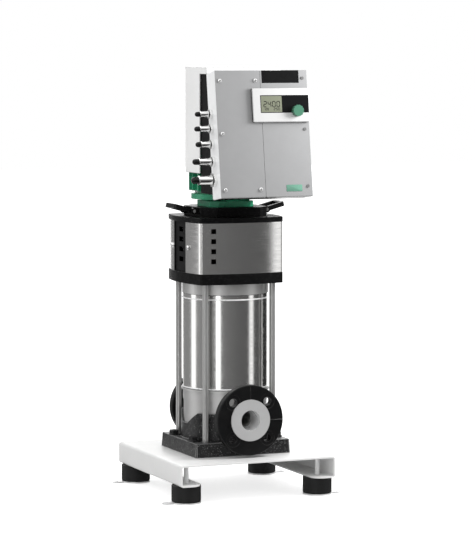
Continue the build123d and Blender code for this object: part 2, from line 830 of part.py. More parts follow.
# Clamp screws of the coupling
with BuildPart() as coupling_screws:
    for screw_level in screw_levels:
        with BuildSketch(Plane.YZ.offset(coupling_flat)):
            with Locations((-coupling_screw_offset, screw_level), (coupling_screw_offset, screw_level)):
                Circle(coupling_screw_head_radius)
        extrude(amount=coupling_screw_head_height)
        with BuildSketch(Plane.YZ.offset(coupling_flat)):
            with Locations((-coupling_screw_offset, screw_level), (coupling_screw_offset, screw_level)):
                Circle(coupling_screw_radius)
        extrude(amount=-2 * coupling_flat)
export(coupling_screws, "coupling_screws")

# Tie rods between the foot and the lantern, with their nuts
with BuildPart() as tie_rods:
    rod_bottom = foot_top - tie_rod_thread_depth
    with BuildSketch(Plane.XY.offset(rod_bottom)):
        with GridLocations(tie_rod_distance, tie_rod_distance, 2, 2):
            Circle(tie_rod_radius)
    extrude(amount=band_top + tie_rod_nut_height + tie_rod_end - rod_bottom)
export(tie_rods, "tie_rods")
with BuildPart() as tie_rod_nuts:
    with BuildSketch(Plane.XY.offset(band_top)):
        with GridLocations(tie_rod_distance, tie_rod_distance, 2, 2):
            hexagon(tie_rod_nut_flats)
            Circle(tie_rod_radius, mode=Mode.SUBTRACT)
    extrude(amount=tie_rod_nut_height)
export(tie_rod_nuts, "tie_rod_nuts")


def side_x(inset, y):
    """Give X on the bulged side of the lantern's plan, drawn in by an inset."""
    corner = lantern_corner - inset
    bulge_radius = (corner ** 2 + lantern_bulge ** 2) / (2 * lantern_bulge)
    return corner + lantern_bulge - bulge_radius + sqrt(bulge_radius ** 2 - y ** 2)


# Lantern: two bands of the bulged plan, joined by four legs
guard_outer_x = lantern_corner + lantern_bulge - guard_inset
leg_outer_x = side_x(guard_inset + guard_sheet, (leg_spacing + leg_width) / 2) - fit_clearance
leg_centre_x = leg_outer_x - leg_thickness / 2
guard_screw_z = band_top + lantern_window / 2
with BuildPart() as lantern:
    with BuildSketch(Plane.XY.offset(head_top)):
        add(bulged_square(0))
        Circle(lantern_lower_bore, mode=Mode.SUBTRACT)
        with GridLocations(tie_rod_distance, tie_rod_distance, 2, 2):
            Circle(tie_rod_radius + fit_clearance, mode=Mode.SUBTRACT)
    extrude(amount=lantern_lower_band)
    with BuildSketch(Plane.XY.offset(window_top)):
        add(bulged_square(0))
        Circle(lantern_upper_bore, mode=Mode.SUBTRACT)
        with GridLocations(2 * motor_bolt_offset, 2 * motor_bolt_offset, 2, 2):
            Circle(motor_bolt_radius + fit_clearance, mode=Mode.SUBTRACT)
    extrude(amount=lantern_upper_band)
    with BuildSketch(Plane.XY.offset(band_top)):
        with GridLocations(2 * leg_centre_x, leg_spacing, 2, 2):
            Rectangle(leg_thickness, leg_width)
    extrude(amount=lantern_window)
    with BuildSketch(Plane.YZ):
        with Locations((-leg_spacing / 2, guard_screw_z), (leg_spacing / 2, guard_screw_z)):
            Circle(guard_screw_radius)
    extrude(amount=leg_outer_x, both=True, mode=Mode.SUBTRACT)
export(lantern, "lantern")

# Perforated side grilles, in front of the legs
vent_centre_z = band_top + lantern_window / 2 + guard_vent_lift
with BuildPart() as side_grilles:
    for side in (-1, 1):
        with BuildSketch(Plane.XY.offset(band_top)):
            with Locations((side * (leg_outer_x + grille_sheet / 2), 0)):
                Rectangle(grille_sheet, 2 * grille_half_width)
        extrude(amount=lantern_window)
    with BuildSketch(Plane.YZ):
        with Locations((0, vent_centre_z)):
            with GridLocations(grille_vent_width, guard_vent_pitch, 1, guard_vent_count):
                Rectangle(grille_vent_width, guard_vent_size)
    extrude(amount=guard_outer_x, both=True, mode=Mode.SUBTRACT)
export(side_grilles, "side_grilles")

# Guards: folded sheets round the front and the rear of the lantern
with BuildPart() as front_guard:
    with BuildSketch(Plane.XY.offset(band_top)):
        add(bulged_square(guard_inset))
        add(bulged_square(guard_inset + guard_sheet), mode=Mode.SUBTRACT)
        with Locations((0, guard_outer_x - guard_side_gap / 2)):
            Rectangle(3 * guard_outer_x, 2 * guard_outer_x, mode=Mode.SUBTRACT)
    extrude(amount=lantern_window)
    with BuildSketch(Plane.XZ):
        with Locations((guard_vent_x, vent_centre_z)):
            with GridLocations(guard_vent_size, guard_vent_pitch, 1, guard_vent_count):
                Rectangle(guard_vent_size, guard_vent_size)
    extrude(amount=guard_outer_x, mode=Mode.SUBTRACT)
    with BuildSketch(Plane.YZ):
        with Locations((-leg_spacing / 2, guard_screw_z)):
            Circle(guard_screw_radius + fit_clearance)
    extrude(amount=guard_outer_x, both=True, mode=Mode.SUBTRACT)
export(front_guard, "front_guard")
with BuildPart() as rear_guard:
    add(front_guard.part.rotate(Axis.Z, 180))
export(rear_guard, "rear_guard")

# Screws of the guards
guard_screw_seat = side_x(guard_inset, leg_spacing / 2 - guard_screw_head_radius)
with BuildPart() as guard_screws:
    for side in (-1, 1):
        with BuildSketch(Plane.YZ.offset(side * guard_screw_seat)):
            with Locations((-leg_spacing / 2, guard_screw_z), (leg_spacing / 2, guard_screw_z)):
                Circle(guard_screw_head_radius)
        extrude(amount=side * guard_screw_head_height)
        with BuildSketch(Plane.YZ.offset(side * guard_screw_seat)):
            with Locations((-leg_spacing / 2, guard_screw_z), (leg_spacing / 2, guard_screw_z)):
                Circle(guard_screw_radius)
        extrude(amount=-side * guard_screw_length)
    guard_screw_face = guard_screw_seat + guard_screw_head_height
    rims = guard_screws.edges().filter_by(lambda edge: abs(abs(edge.center().X) - guard_screw_face) < 0.01)
    fillet(rims, screw_dome_share * guard_screw_head_height)
    for side in (-1, 1):
        with BuildSketch(Plane.YZ.offset(side * guard_screw_face)):
            with Locations((-leg_spacing / 2, guard_screw_z), (leg_spacing / 2, guard_screw_z)):
                RegularPolygon(guard_screw_socket, 6)
        extrude(amount=-side * screw_socket_share * guard_screw_head_height, mode=Mode.SUBTRACT)
export(guard_screws, "guard_screws")

# Octagonal ring on the lantern, with lugs for the lifting handles
handle_pivot_z = ring_top - handle_pivot_drop
lug_inner_y = handle_inner_width / 2 + handle_bar + fit_clearance
lug_centre_y = lug_inner_y + handle_lug_thickness / 2
with BuildPart() as top_ring:
    with BuildSketch(Plane.XY.offset(lantern_top)):
        add(octagon(ring_half_width, ring_face_half_length))
        Circle(ring_bore, mode=Mode.SUBTRACT)
        with GridLocations(2 * motor_bolt_offset, 2 * motor_bolt_offset, 2, 2):
            Circle(motor_bolt_radius + fit_clearance, mode=Mode.SUBTRACT)
    extrude(amount=ring_height)
    for end in (-1, 1):
        with BuildSketch(Plane.XZ.offset(end * lug_centre_y)):
            with Locations((-handle_pivot_x, handle_pivot_z), (handle_pivot_x, handle_pivot_z)):
                Circle(handle_lug_radius)
            with Locations((0, handle_pivot_z)):
                Rectangle(2 * handle_pivot_x, 2 * handle_lug_radius)
            Rectangle(2 * ring_half_width - 4, 4 * ring_top, mode=Mode.SUBTRACT)
        extrude(amount=handle_lug_thickness / 2, both=True)
        with BuildSketch(Plane.XZ.offset(end * lug_centre_y)):
            with Locations((-handle_pivot_x, handle_pivot_z), (handle_pivot_x, handle_pivot_z)):
                Circle(handle_pin_radius)
        extrude(amount=handle_lug_thickness, both=True, mode=Mode.SUBTRACT)
export(top_ring, "top_ring")

# Pins of the lifting handles
pin_half_length = lug_inner_y + handle_lug_thickness
with BuildPart() as handle_pins:
    with BuildSketch(Plane.XZ):
        with Locations((-handle_pivot_x, handle_pivot_z), (handle_pivot_x, handle_pivot_z)):
            Circle(handle_pin_radius)
    extrude(amount=pin_half_length, both=True)
export(handle_pins, "handle_pins")

# Lifting handles: slotted loops that swing up about their pins
handle_half_width = handle_inner_width / 2 + handle_bar
handle_plane = Plane(
    origin=(handle_pivot_x, 0, handle_pivot_z),
    x_dir=(cos(radians(handle_rest_angle)), 0, sin(radians(handle_rest_angle))),
    z_dir=(-sin(radians(handle_rest_angle)), 0, cos(radians(handle_rest_angle))),
)
with BuildPart() as right_handle:
    with BuildSketch(handle_plane.offset(-handle_thickness / 2)):
        with Locations((handle_length / 2, 0)):
            Rectangle(handle_length, 2 * handle_half_width)
        outer_corners = vertices().filter_by(lambda corner: corner.X > handle_length / 2)
        fillet(outer_corners, handle_bar)
        with Locations((handle_length / 2 - handle_bar, 0)):
            Rectangle(handle_length, handle_inner_width, mode=Mode.SUBTRACT)
    extrude(amount=handle_thickness)
    for end in (-1, 1):
        with BuildSketch(Plane.XZ.offset(end * (handle_inner_width + handle_bar) / 2)):
            with Locations((handle_pivot_x, handle_pivot_z)):
                Circle(handle_eye_radius)
        extrude(amount=handle_bar / 2, both=True)
    with BuildSketch(Plane.XZ):
        with Locations((handle_pivot_x, handle_pivot_z)):
            Circle(handle_pin_radius + running_clearance)
    extrude(amount=handle_half_width + 1, both=True, mode=Mode.SUBTRACT)
export(right_handle, "right_handle")
with BuildPart() as left_handle:
    mirror(right_handle.part, about=Plane.YZ)
export(left_handle, "left_handle")

# Bolts from under the lantern's upper band into the motor's foot
with BuildPart() as motor_bolts:
    with BuildSketch(Plane.XY.offset(window_top)):
        with GridLocations(2 * motor_bolt_offset, 2 * motor_bolt_offset, 2, 2):
            Circle(motor_bolt_head_radius)
    extrude(amount=-motor_bolt_head_height)
    with BuildSketch(Plane.XY.offset(window_top)):
        with GridLocations(2 * motor_bolt_offset, 2 * motor_bolt_offset, 2, 2):
            Circle(motor_bolt_radius)
    extrude(amount=ring_top - window_top + motor_bolt_grip)
export(motor_bolts, "motor_bolts")

# Drive-end flange of the motor: octagonal foot, neck, round plate, spigot and bearing seat
spigot_outer = motor_bore_radius
bearing_bottom = motor_plate_top + motor_gap - bearing_lip
motor_shaft_hole = motor_shaft_radius + 3 * fit_clearance
with BuildPart() as motor_flange:
    with BuildSketch(Plane.XY.offset(ring_top)):
        add(octagon(motor_base_half_width, motor_base_half_length))
    extrude(amount=motor_base_height)
    with BuildSketch(Plane.XY.offset(motor_base_top)):
        Circle(motor_base_half_width)
    with BuildSketch(Plane.XY.offset(motor_plate_bottom)):
        Circle(motor_neck_radius)
    loft()
    with BuildSketch(Plane.XY.offset(motor_plate_bottom)):
        Circle(motor_plate_radius)
    extrude(amount=motor_plate_height)
    with BuildSketch(Plane.XY.offset(motor_plate_top)):
        annulus(spigot_outer, bearing_radius)
    extrude(amount=motor_gap + motor_spigot_depth)
    with BuildSketch(Plane.XY.offset(bearing_bottom)):
        Circle(bearing_radius)
    extrude(amount=bearing_width + motor_gap, mode=Mode.SUBTRACT)
    with BuildSketch(Plane.XY.offset(ring_top)):
        Circle(motor_shaft_hole)
    extrude(amount=bearing_bottom - ring_top, mode=Mode.SUBTRACT)
    with BuildSketch(Plane.XY.offset(ring_top)):
        with GridLocations(2 * motor_bolt_offset, 2 * motor_bolt_offset, 2, 2):
            Circle(motor_bolt_radius)
    extrude(amount=motor_bolt_grip, mode=Mode.SUBTRACT)
export(motor_flange, "motor_flange")

# Studs between the flange plate and the motor frame
with BuildPart() as motor_studs:
    with BuildSketch(Plane.XY.offset(motor_plate_top)):
        with PolarLocations(motor_stud_circle, 4, start_angle=45):
            Circle(motor_stud_radius)
    extrude(amount=motor_gap)
export(motor_studs, "motor_studs")

# Finned motor frame with a flat pad for the converter at the front
motor_outer = motor_bore_radius + motor_wall
pad_z = motor_bottom + motor_length / 2
lug_tip = sqrt((hood_bore - fit_clearance) ** 2 - (hood_lug_width / 2) ** 2)
lug_length = lug_tip - motor_bore_radius
lug_middle = (lug_tip + motor_bore_radius) / 2
with BuildPart() as motor_frame:
    with BuildSketch(Plane.XY.offset(motor_bottom)):
        Circle(motor_outer + motor_wall)
    extrude(amount=motor_stud_depth)
    with BuildSketch(Plane.XY.offset(motor_bottom)):
        Circle(motor_outer)
        with PolarLocations(
            (motor_outer + motor_fin_radius) / 2,
            motor_fin_count,
            start_angle=90 - motor_fin_arc / 2,
            angular_range=motor_fin_arc,
            endpoint=True,
        ):
            Rectangle(motor_fin_radius - motor_outer + 2, motor_fin_thickness)
    extrude(amount=motor_length)
    with BuildSketch(Plane.XZ.offset(-hood_front_y)):
        with Locations((0, pad_z)):
            Rectangle(2 * motor_pad_half_width, motor_pad_height)
    extrude(amount=hood_front_y + motor_outer / 2)
    with BuildSketch(Plane.XY.offset(motor_top)):
        with PolarLocations(lug_middle, 4, angular_range=180, endpoint=True):
            Rectangle(lug_length, hood_lug_width)
    extrude(amount=-hood_lug_height)
    with BuildSketch(Plane.XY.offset(motor_bottom)):
        Circle(motor_bore_radius)
        with Locations((0, 1.5 * hood_front_y)):
            Rectangle(2 * hood_radius, -hood_front_y)
    extrude(amount=motor_length, mode=Mode.SUBTRACT)
export(motor_frame, "motor_frame")

# End shield with the seat of the fan-end bearing
with BuildPart() as end_shield:
    with BuildSketch(Plane.XY.offset(motor_top)):
        annulus(motor_outer, motor_shaft_hole)
    extrude(amount=end_shield_thickness)
    with BuildSketch(Plane.XY.offset(motor_top)):
        annulus(bearing_radius + motor_wall, bearing_radius)
    extrude(amount=-bearing_width)
export(end_shield, "end_shield")

# Ball bearings, each as one ring
with BuildPart() as drive_end_bearing:
    with BuildSketch(Plane.XY.offset(bearing_bottom)):
        annulus(bearing_radius, motor_shaft_radius + running_clearance)
    extrude(amount=bearing_width)
export(drive_end_bearing, "drive_end_bearing")
with BuildPart() as fan_end_bearing:
    with BuildSketch(Plane.XY.offset(motor_top)):
        annulus(bearing_radius, motor_shaft_radius + running_clearance)
    extrude(amount=-bearing_width)
export(fan_end_bearing, "fan_end_bearing")

# Stator core, and its winding heads
with BuildPart() as stator_core:
    with BuildSketch(Plane.XY.offset(stator_bottom)):
        annulus(motor_bore_radius, stator_bore_radius)
    extrude(amount=stator_length)
export(stator_core, "stator_core")
with BuildPart() as stator_windings:
    for winding_bottom in (stator_bottom - winding_height, stator_top):
        with BuildSketch(Plane.XY.offset(winding_bottom)):
            annulus(winding_outer_radius, winding_inner_radius)
        extrude(amount=winding_height)
export(stator_windings, "stator_windings")

# Motor rotor: shaft and core
with BuildPart() as motor_rotor:
    with BuildSketch(Plane.XY.offset(motor_shaft_bottom)):
        Circle(motor_shaft_radius)
    extrude(amount=fan_top - motor_shaft_bottom)
    with BuildSketch(Plane.XY.offset(stator_bottom)):
        Circle(stator_bore_radius - air_gap)
    extrude(amount=stator_length)
export(motor_rotor, "motor_rotor")

# Fan of the motor
with BuildPart() as fan:
    with BuildSketch(Plane.XY.offset(fan_bottom)):
        annulus(fan_hub_radius, motor_shaft_radius)
    extrude(amount=fan_height)
    with BuildSketch(Plane.XY.offset(fan_bottom)):
        annulus(fan_radius, motor_shaft_radius)
    extrude(amount=fan_disc)
    blade_inner = fan_hub_radius - fan_blade_thickness
    blade_outer = fan_radius - fan_blade_thickness
    with BuildSketch(Plane.XY.offset(fan_bottom + fan_disc)):
        with PolarLocations((blade_inner + blade_outer) / 2, fan_blade_count):
            Rectangle(blade_outer - blade_inner, fan_blade_thickness)
    extrude(amount=fan_height - fan_disc)
export(fan, "fan")

# Tilted plane of the converter's front: x along its width, y up its slope, z outwards.
# The converter's left side is flush with the hood's.
box_centre_x = box_width / 2 - hood_radius
box_length = motor_length + box_overreach
box_bottom_z = motor_plate_top
tilt = radians(box_tilt)
front_plane = Plane(
    origin=(box_centre_x, box_front_y, box_bottom_z),
    x_dir=(1, 0, 0),
    z_dir=(0, -cos(tilt), sin(tilt)),
)


def back_y(height, offset=0.0):
    """Give Y on the converter's back face at a height above the floor."""
    return box_front_y + (box_depth + offset) / cos(tilt) + (height - box_bottom_z) * tan(tilt)


# Fan hood: U-shaped shell with a slotted roof that reaches forward to the converter
with BuildPart() as fan_hood:
    with BuildSketch(Plane.XY.offset(hood_bottom)):
        with BuildLine():
            ThreePointArc((hood_radius, 0), (0, hood_radius), (-hood_radius, 0))
            Polyline(
                (-hood_radius, 0),
                (-hood_radius, hood_front_y),
                (hood_radius, hood_front_y),
                (hood_radius, 0),
            )
        make_face()
    extrude(amount=hood_top - hood_bottom)
    with BuildSketch(Plane.XY.offset(hood_bottom)):
        with BuildLine():
            ThreePointArc((hood_bore, 0), (0, hood_bore), (-hood_bore, 0))
            Polyline(
                (-hood_bore, 0),
                (-hood_bore, hood_front_y),
                (hood_bore, hood_front_y),
                (hood_bore, 0),
            )
        make_face()
    extrude(amount=hood_top - hood_roof_sheet - hood_bottom, mode=Mode.SUBTRACT)
    with BuildSketch(Plane.YZ):
        with BuildLine():
            Polyline(
                (hood_front_y, bridge_bottom),
                (hood_front_y, hood_top),
                (back_y(hood_top), hood_top),
                (back_y(bridge_bottom), bridge_bottom),
                close=True,
            )
        make_face()
    extrude(amount=hood_radius, both=True)
    with BuildSketch(Plane.XY.offset(hood_top)):
        with GridLocations(2 * hood_radius, hood_slot_pitch, 1, hood_slot_count):
            Rectangle(2 * hood_radius, hood_slot_width)
        Circle(hood_slot_radius, mode=Mode.INTERSECT)
        Rectangle(hood_slot_width, 2 * hood_radius, mode=Mode.SUBTRACT)
    extrude(amount=-hood_roof_sheet, mode=Mode.SUBTRACT)
export(fan_hood, "fan_hood")

# Heat sink between the motor's pad and the tilted converter, with upright fins
heat_sink_bottom = box_bottom_z + heat_sink_bottom_gap
heat_sink_top = bridge_bottom
fin_pitch = (2 * heat_sink_half_width - heat_sink_fin_thickness) / (heat_sink_fin_count - 1)
with BuildPart() as heat_sink:
    with BuildSketch(Plane.YZ):
        with BuildLine():
            Polyline(
                (hood_front_y, heat_sink_bottom),
                (hood_front_y, heat_sink_top),
                (back_y(heat_sink_top), heat_sink_top),
                (back_y(heat_sink_bottom), heat_sink_bottom),
                close=True,
            )
        make_face()
    extrude(amount=heat_sink_half_width, both=True)
    for channel in range(heat_sink_fin_count - 1):
        channel_x = -heat_sink_half_width + heat_sink_fin_thickness / 2 + (channel + 0.5) * fin_pitch
        with BuildSketch(Plane.YZ.offset(channel_x)):
            with BuildLine():
                Polyline(
                    (hood_front_y + 1, heat_sink_bottom - 1),
                    (hood_front_y + 1, heat_sink_top + 1),
                    (back_y(heat_sink_top + 1, heat_sink_base), heat_sink_top + 1),
                    (back_y(heat_sink_bottom - 1, heat_sink_base), heat_sink_bottom - 1),
                    close=True,
                )
            make_face()
        extrude(amount=(fin_pitch - heat_sink_fin_thickness) / 2, both=True, mode=Mode.SUBTRACT)
export(heat_sink, "heat_sink")

# Places on the converter's front, from its bottom centre
half_width = box_width / 2
display_left_u = half_width - display_width
glass_left_u = half_width - glass_right_inset - glass_width
knob_u = half_width - knob_inset
display_bottom_v = box_length - display_top_inset - display_height
glass_bottom_v = display_bottom_v + glass_bottom_inset
knob_v = display_bottom_v + knob_bottom_inset
bay_width = half_width - bay_right_inset - bay_left_u
seam_left = cover_seam_u - cover_seam_gap / 2
seam_right = cover_seam_u + cover_seam_gap / 2
upper_screw_v = box_length - cover_screw_top_inset
left_screw_places = [
    (-half_width + cover_screw_inset, upper_screw_v),
    (-half_width + cover_screw_inset, box_length / 2 + left_middle_screw_rise),
    (-half_width + cover_screw_inset, cover_screw_bottom_inset),
    (cover_seam_u - cover_inner_screw_offset, upper_screw_v),
    (cover_seam_u - cover_inner_screw_offset, cover_screw_bottom_inset),
]
right_screw_places = [
    (half_width - cover_screw_inset, box_length - right_screw_top_inset),
    (half_width - cover_screw_inset, display_bottom_v - right_middle_screw_drop),
    (half_width - cover_screw_inset, right_screw_bottom_inset),
]
screw_places = left_screw_places + right_screw_places

# Converter housing: an open tray with screw bosses
with BuildPart() as converter_housing:
    with BuildSketch(front_plane.offset(-cover_depth)):
        with Locations((0, box_length / 2)):
            RectangleRounded(box_width, box_length, box_corner_radius)
    extrude(amount=cover_depth - box_depth)
    with BuildSketch(front_plane.offset(-cover_depth)):
        with Locations((0, box_length / 2)):
            Rectangle(box_width - 2 * box_wall, box_length - 2 * box_wall)
    extrude(amount=cover_depth + box_back_wall - box_depth, mode=Mode.SUBTRACT)
    with BuildSketch(front_plane.offset(-cover_depth)):
        with Locations(*screw_places):
            Circle(cover_boss_radius)
    extrude(amount=cover_depth + box_back_wall - box_depth)
    with BuildSketch(front_plane.offset(-cover_depth)):
        with Locations(*screw_places):
            Circle(cover_screw_radius)
    extrude(amount=-cover_screw_engagement, mode=Mode.SUBTRACT)
export(converter_housing, "converter_housing")


def cover(left, right, places, screw_hole):
    """Return one front cover as a shallow tray with a sleeve at each screw."""
    width = right - left
    middle = ((left + right) / 2, box_length / 2)
    with BuildPart() as tray:
        with BuildSketch(front_plane.offset(-cover_depth)):
            with Locations(middle):
                Rectangle(width, box_length)
        extrude(amount=cover_depth)
        outer_edges = tray.faces().sort_by(Axis.Y)[0].edges()
        chamfer(outer_edges, cover_edge_round)
        with BuildSketch(front_plane.offset(-cover_depth)):
            with Locations(middle):
                Rectangle(width - 2 * cover_wall, box_length - 2 * cover_wall)
        extrude(amount=cover_depth - cover_wall, mode=Mode.SUBTRACT)
        with BuildSketch(front_plane.offset(-cover_depth)):
            with Locations(*places):
                Circle(cover_boss_radius)
        extrude(amount=cover_depth - cover_wall)
        with BuildSketch(front_plane):
            with Locations(*places):
                Circle(screw_hole)
        extrude(amount=-cover_depth, mode=Mode.SUBTRACT)
    return tray.part


# Left front cover
with BuildPart() as left_cover:
    add(cover(-half_width, seam_left, left_screw_places, cover_screw_radius + fit_clearance))
export(left_cover, "left_cover")

# Right front cover, with a bay at its top edge and a hole for the knob's shaft
bay_centre = (bay_left_u + bay_width / 2, box_length - bay_height / 2)
with BuildPart() as right_cover:
    add(cover(seam_right, half_width, right_screw_places, small_screw_radius + fit_clearance))
    with BuildSketch(front_plane):
        with Locations(bay_centre):
            Rectangle(bay_width, bay_height)
    extrude(amount=-cover_wall, mode=Mode.SUBTRACT)
    with BuildSketch(front_plane):
        with Locations((knob_u, knob_v)):
            Circle(knob_shaft_radius + 2 * fit_clearance)
    extrude(amount=-cover_wall, mode=Mode.SUBTRACT)
export(right_cover, "right_cover")

# Black cover of the module bay
with BuildPart() as module_bay_cover:
    with BuildSketch(front_plane.offset(-bay_recess)):
        with Locations(bay_centre):
            Rectangle(bay_width - 2 * fit_clearance, bay_height)
    extrude(amount=bay_recess - cover_wall)
export(module_bay_cover, "module_bay_cover")

# Screws of the left cover
with BuildPart() as cover_screws:
    with BuildSketch(front_plane):
        with Locations(*left_screw_places):
            Circle(cover_screw_head_radius)
    extrude(amount=cover_screw_head_height)
    outer_faces = cover_screws.faces().filter_by(
        lambda face: front_plane.to_local_coords(face.center()).Z > cover_screw_head_height - 0.01
    )
    fillet(outer_faces.edges(), screw_dome_share * cover_screw_head_height)
    with BuildSketch(front_plane.offset(cover_screw_head_height)):
        with Locations(*left_screw_places):
            RegularPolygon(cover_screw_socket, 6)
    extrude(amount=-screw_socket_share * cover_screw_head_height, mode=Mode.SUBTRACT)
    with BuildSketch(front_plane):
        with Locations(*left_screw_places):
            Circle(cover_screw_radius)
    extrude(amount=-cover_depth - cover_screw_engagement)
export(cover_screws, "cover_screws")

# Smaller screws of the right cover
with BuildPart() as small_cover_screws:
    with BuildSketch(front_plane):
        with Locations(*right_screw_places):
            Circle(small_screw_head_radius)
    extrude(amount=small_screw_head_height)
    with BuildSketch(front_plane):
        with Locations(*right_screw_places):
            Circle(small_screw_radius)
    extrude(amount=-cover_depth - cover_screw_engagement)
export(small_cover_screws, "small_cover_screws")

# White frame of the display
display_right_u = half_width
display_centre = ((display_left_u + display_right_u) / 2, display_bottom_v + display_height / 2)
glass_centre = (glass_left_u + glass_width / 2, glass_bottom_v + glass_height / 2)
with BuildPart() as display_frame:
    with BuildSketch(front_plane):
        with Locations(display_centre):
            RectangleRounded(display_right_u - display_left_u, display_height, display_corner_radius)
        with Locations((knob_u, knob_v)):
            Circle(knob_shaft_radius + 2 * fit_clearance, mode=Mode.SUBTRACT)
    extrude(amount=display_thickness)
    chamfer(display_frame.faces().sort_by(Axis.Y)[0].outer_wire().edges(), cover_edge_round)
    with BuildSketch(front_plane.offset(display_thickness)):
        with Locations(glass_centre):
            Rectangle(glass_width, glass_height)
    extrude(amount=-glass_thickness, mode=Mode.SUBTRACT)
export(display_frame, "display_frame")

# Black window of the display, with a shallow seat for the screen
lcd_height = glass_height - 2 * lcd_margin
lcd_centre = (glass_left_u + lcd_margin + lcd_width / 2, glass_centre[1])
with BuildPart() as display_glass:
    with BuildSketch(front_plane.offset(display_thickness)):
        with Locations(glass_centre):
            Rectangle(glass_width, glass_height)
        with Locations((knob_u, knob_v)):
            Circle(knob_shaft_radius + 2 * fit_clearance, mode=Mode.SUBTRACT)
    extrude(amount=-glass_thickness)
    with BuildSketch(front_plane.offset(display_thickness)):
        with Locations(lcd_centre):
            Rectangle(lcd_width, lcd_height)
    extrude(amount=-lcd_thickness, mode=Mode.SUBTRACT)
export(display_glass, "display_glass")

# Screen
with BuildPart() as lcd_screen:
    with BuildSketch(front_plane.offset(display_thickness)):
        with Locations(lcd_centre):
            Rectangle(lcd_width, lcd_height)
    extrude(amount=-lcd_thickness)
export(lcd_screen, "lcd_screen")

# Encoder behind the right cover, with a bore that lets the knob's shaft dip
with BuildPart() as encoder:
    with BuildSketch(front_plane.offset(-cover_wall)):
        with Locations((knob_u, knob_v)):
            Rectangle(encoder_size, encoder_size)
            Circle(knob_shaft_radius + running_clearance, mode=Mode.SUBTRACT)
    extrude(amount=-encoder_depth)
export(encoder, "encoder")

# Shaft of the knob: it dips by the knob's travel
knob_bottom_w = display_thickness + knob_travel + fit_clearance
shaft_bottom_w = -cover_wall - encoder_depth + knob_travel
with BuildPart() as knob_shaft:
    with BuildSketch(front_plane.offset(shaft_bottom_w)):
        with Locations((knob_u, knob_v)):
            Circle(knob_shaft_radius)
    extrude(amount=knob_bottom_w + knob_shaft_grip - shaft_bottom_w)
export(knob_shaft, "knob_shaft")

# Knob with grip grooves round its rim
with BuildPart() as knob_cap:
    with BuildSketch(front_plane.offset(knob_bottom_w)):
        with Locations((knob_u, knob_v)):
            Circle(knob_radius)
            with PolarLocations(knob_radius, knob_grip_count):
                Circle(knob_grip_radius, mode=Mode.SUBTRACT)
    extrude(amount=knob_height)
    with BuildSketch(front_plane.offset(knob_bottom_w)):
        with Locations((knob_u, knob_v)):
            Circle(knob_shaft_radius + running_clearance)
    extrude(amount=knob_shaft_grip + running_clearance, mode=Mode.SUBTRACT)
export(knob_cap, "knob_cap")

# Power board on its standoffs, with a few components
board_w = -box_depth + box_back_wall + board_standoff
board_width = box_width - 2 * box_wall - 2 * board_margin - 2 * cover_boss_radius
board_length = box_length - 2 * box_wall - 2 * board_margin - 6 * cover_boss_radius
with BuildPart() as power_board:
    with BuildSketch(front_plane.offset(board_w)):
        with Locations((0, box_length / 2)):
            Rectangle(board_width, board_length)
    extrude(amount=board_thickness)
    with BuildSketch(front_plane.offset(board_w)):
        with Locations((0, box_length / 2)):
            with GridLocations(board_width - 2 * board_margin, board_length - 2 * board_margin, 2, 2):
                Circle(cover_boss_radius)
    extrude(amount=-board_standoff)
    with BuildSketch(front_plane.offset(board_w + board_thickness)):
        with Locations((board_width / 4, box_length / 2)):
            with GridLocations(board_chip_size, 2 * board_chip_size, 1, 3):
                Rectangle(board_chip_size, board_chip_size)
    extrude(amount=board_chip_height)
export(power_board, "power_board")

# Cable glands on the left wall: hexagon, body, and a black plug in each
gland_row = list(zip(gland_heights, gland_nut_flats, gland_body_radii, gland_plug_radii, gland_lengths))


def gland_plane(height):
    """Give the plane of a gland: on the left wall, facing outwards."""
    seat = front_plane.offset(-gland_depth).from_local_coords((-half_width, height, 0))
    return Plane(origin=seat, x_dir=(0, 1, 0), z_dir=(-1, 0, 0))


with BuildPart() as gland_bodies:
    for height, flats, body_radius, plug_radius, length in gland_row:
        with BuildSketch(gland_plane(height)):
            hexagon(flats)
        extrude(amount=gland_nut_height)
        with BuildSketch(gland_plane(height)):
            Circle(gland_neck_share * body_radius)
        extrude(amount=gland_nut_height + gland_groove)
        with BuildSketch(gland_plane(height).offset(gland_nut_height + gland_groove)):
            Circle(body_radius)
        extrude(amount=gland_body_share * length - gland_nut_height - gland_groove)
        body_end = gland_bodies.faces().filter_by(
            lambda face: abs(face.center().X - box_centre_x + half_width + gland_body_share * length) < 0.01
        )
        chamfer(body_end.edges(), gland_body_chamfer * body_radius)
export(gland_bodies, "gland_bodies")
with BuildPart() as gland_plugs:
    for height, flats, body_radius, plug_radius, length in gland_row:
        with BuildSketch(gland_plane(height).offset(gland_body_share * length)):
            Circle(plug_radius)
        extrude(amount=(1 - gland_body_share) * length)
        tip = gland_plugs.faces().filter_by(
            lambda face: abs(face.center().X - box_centre_x + half_width + length) < 0.01
        )
        fillet(tip.edges(), 0.9 * plug_radius)
export(gland_plugs, "gland_plugs")
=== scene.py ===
# High-pressure centrifugal pump: camera, light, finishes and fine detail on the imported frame.
# Metres, in the CAD's frame: the front port faces -Y, the cable glands are on the -X side.
import json
from math import cos, pi, radians, sin
import bmesh
import bpy
from mathutils import Matrix, Vector


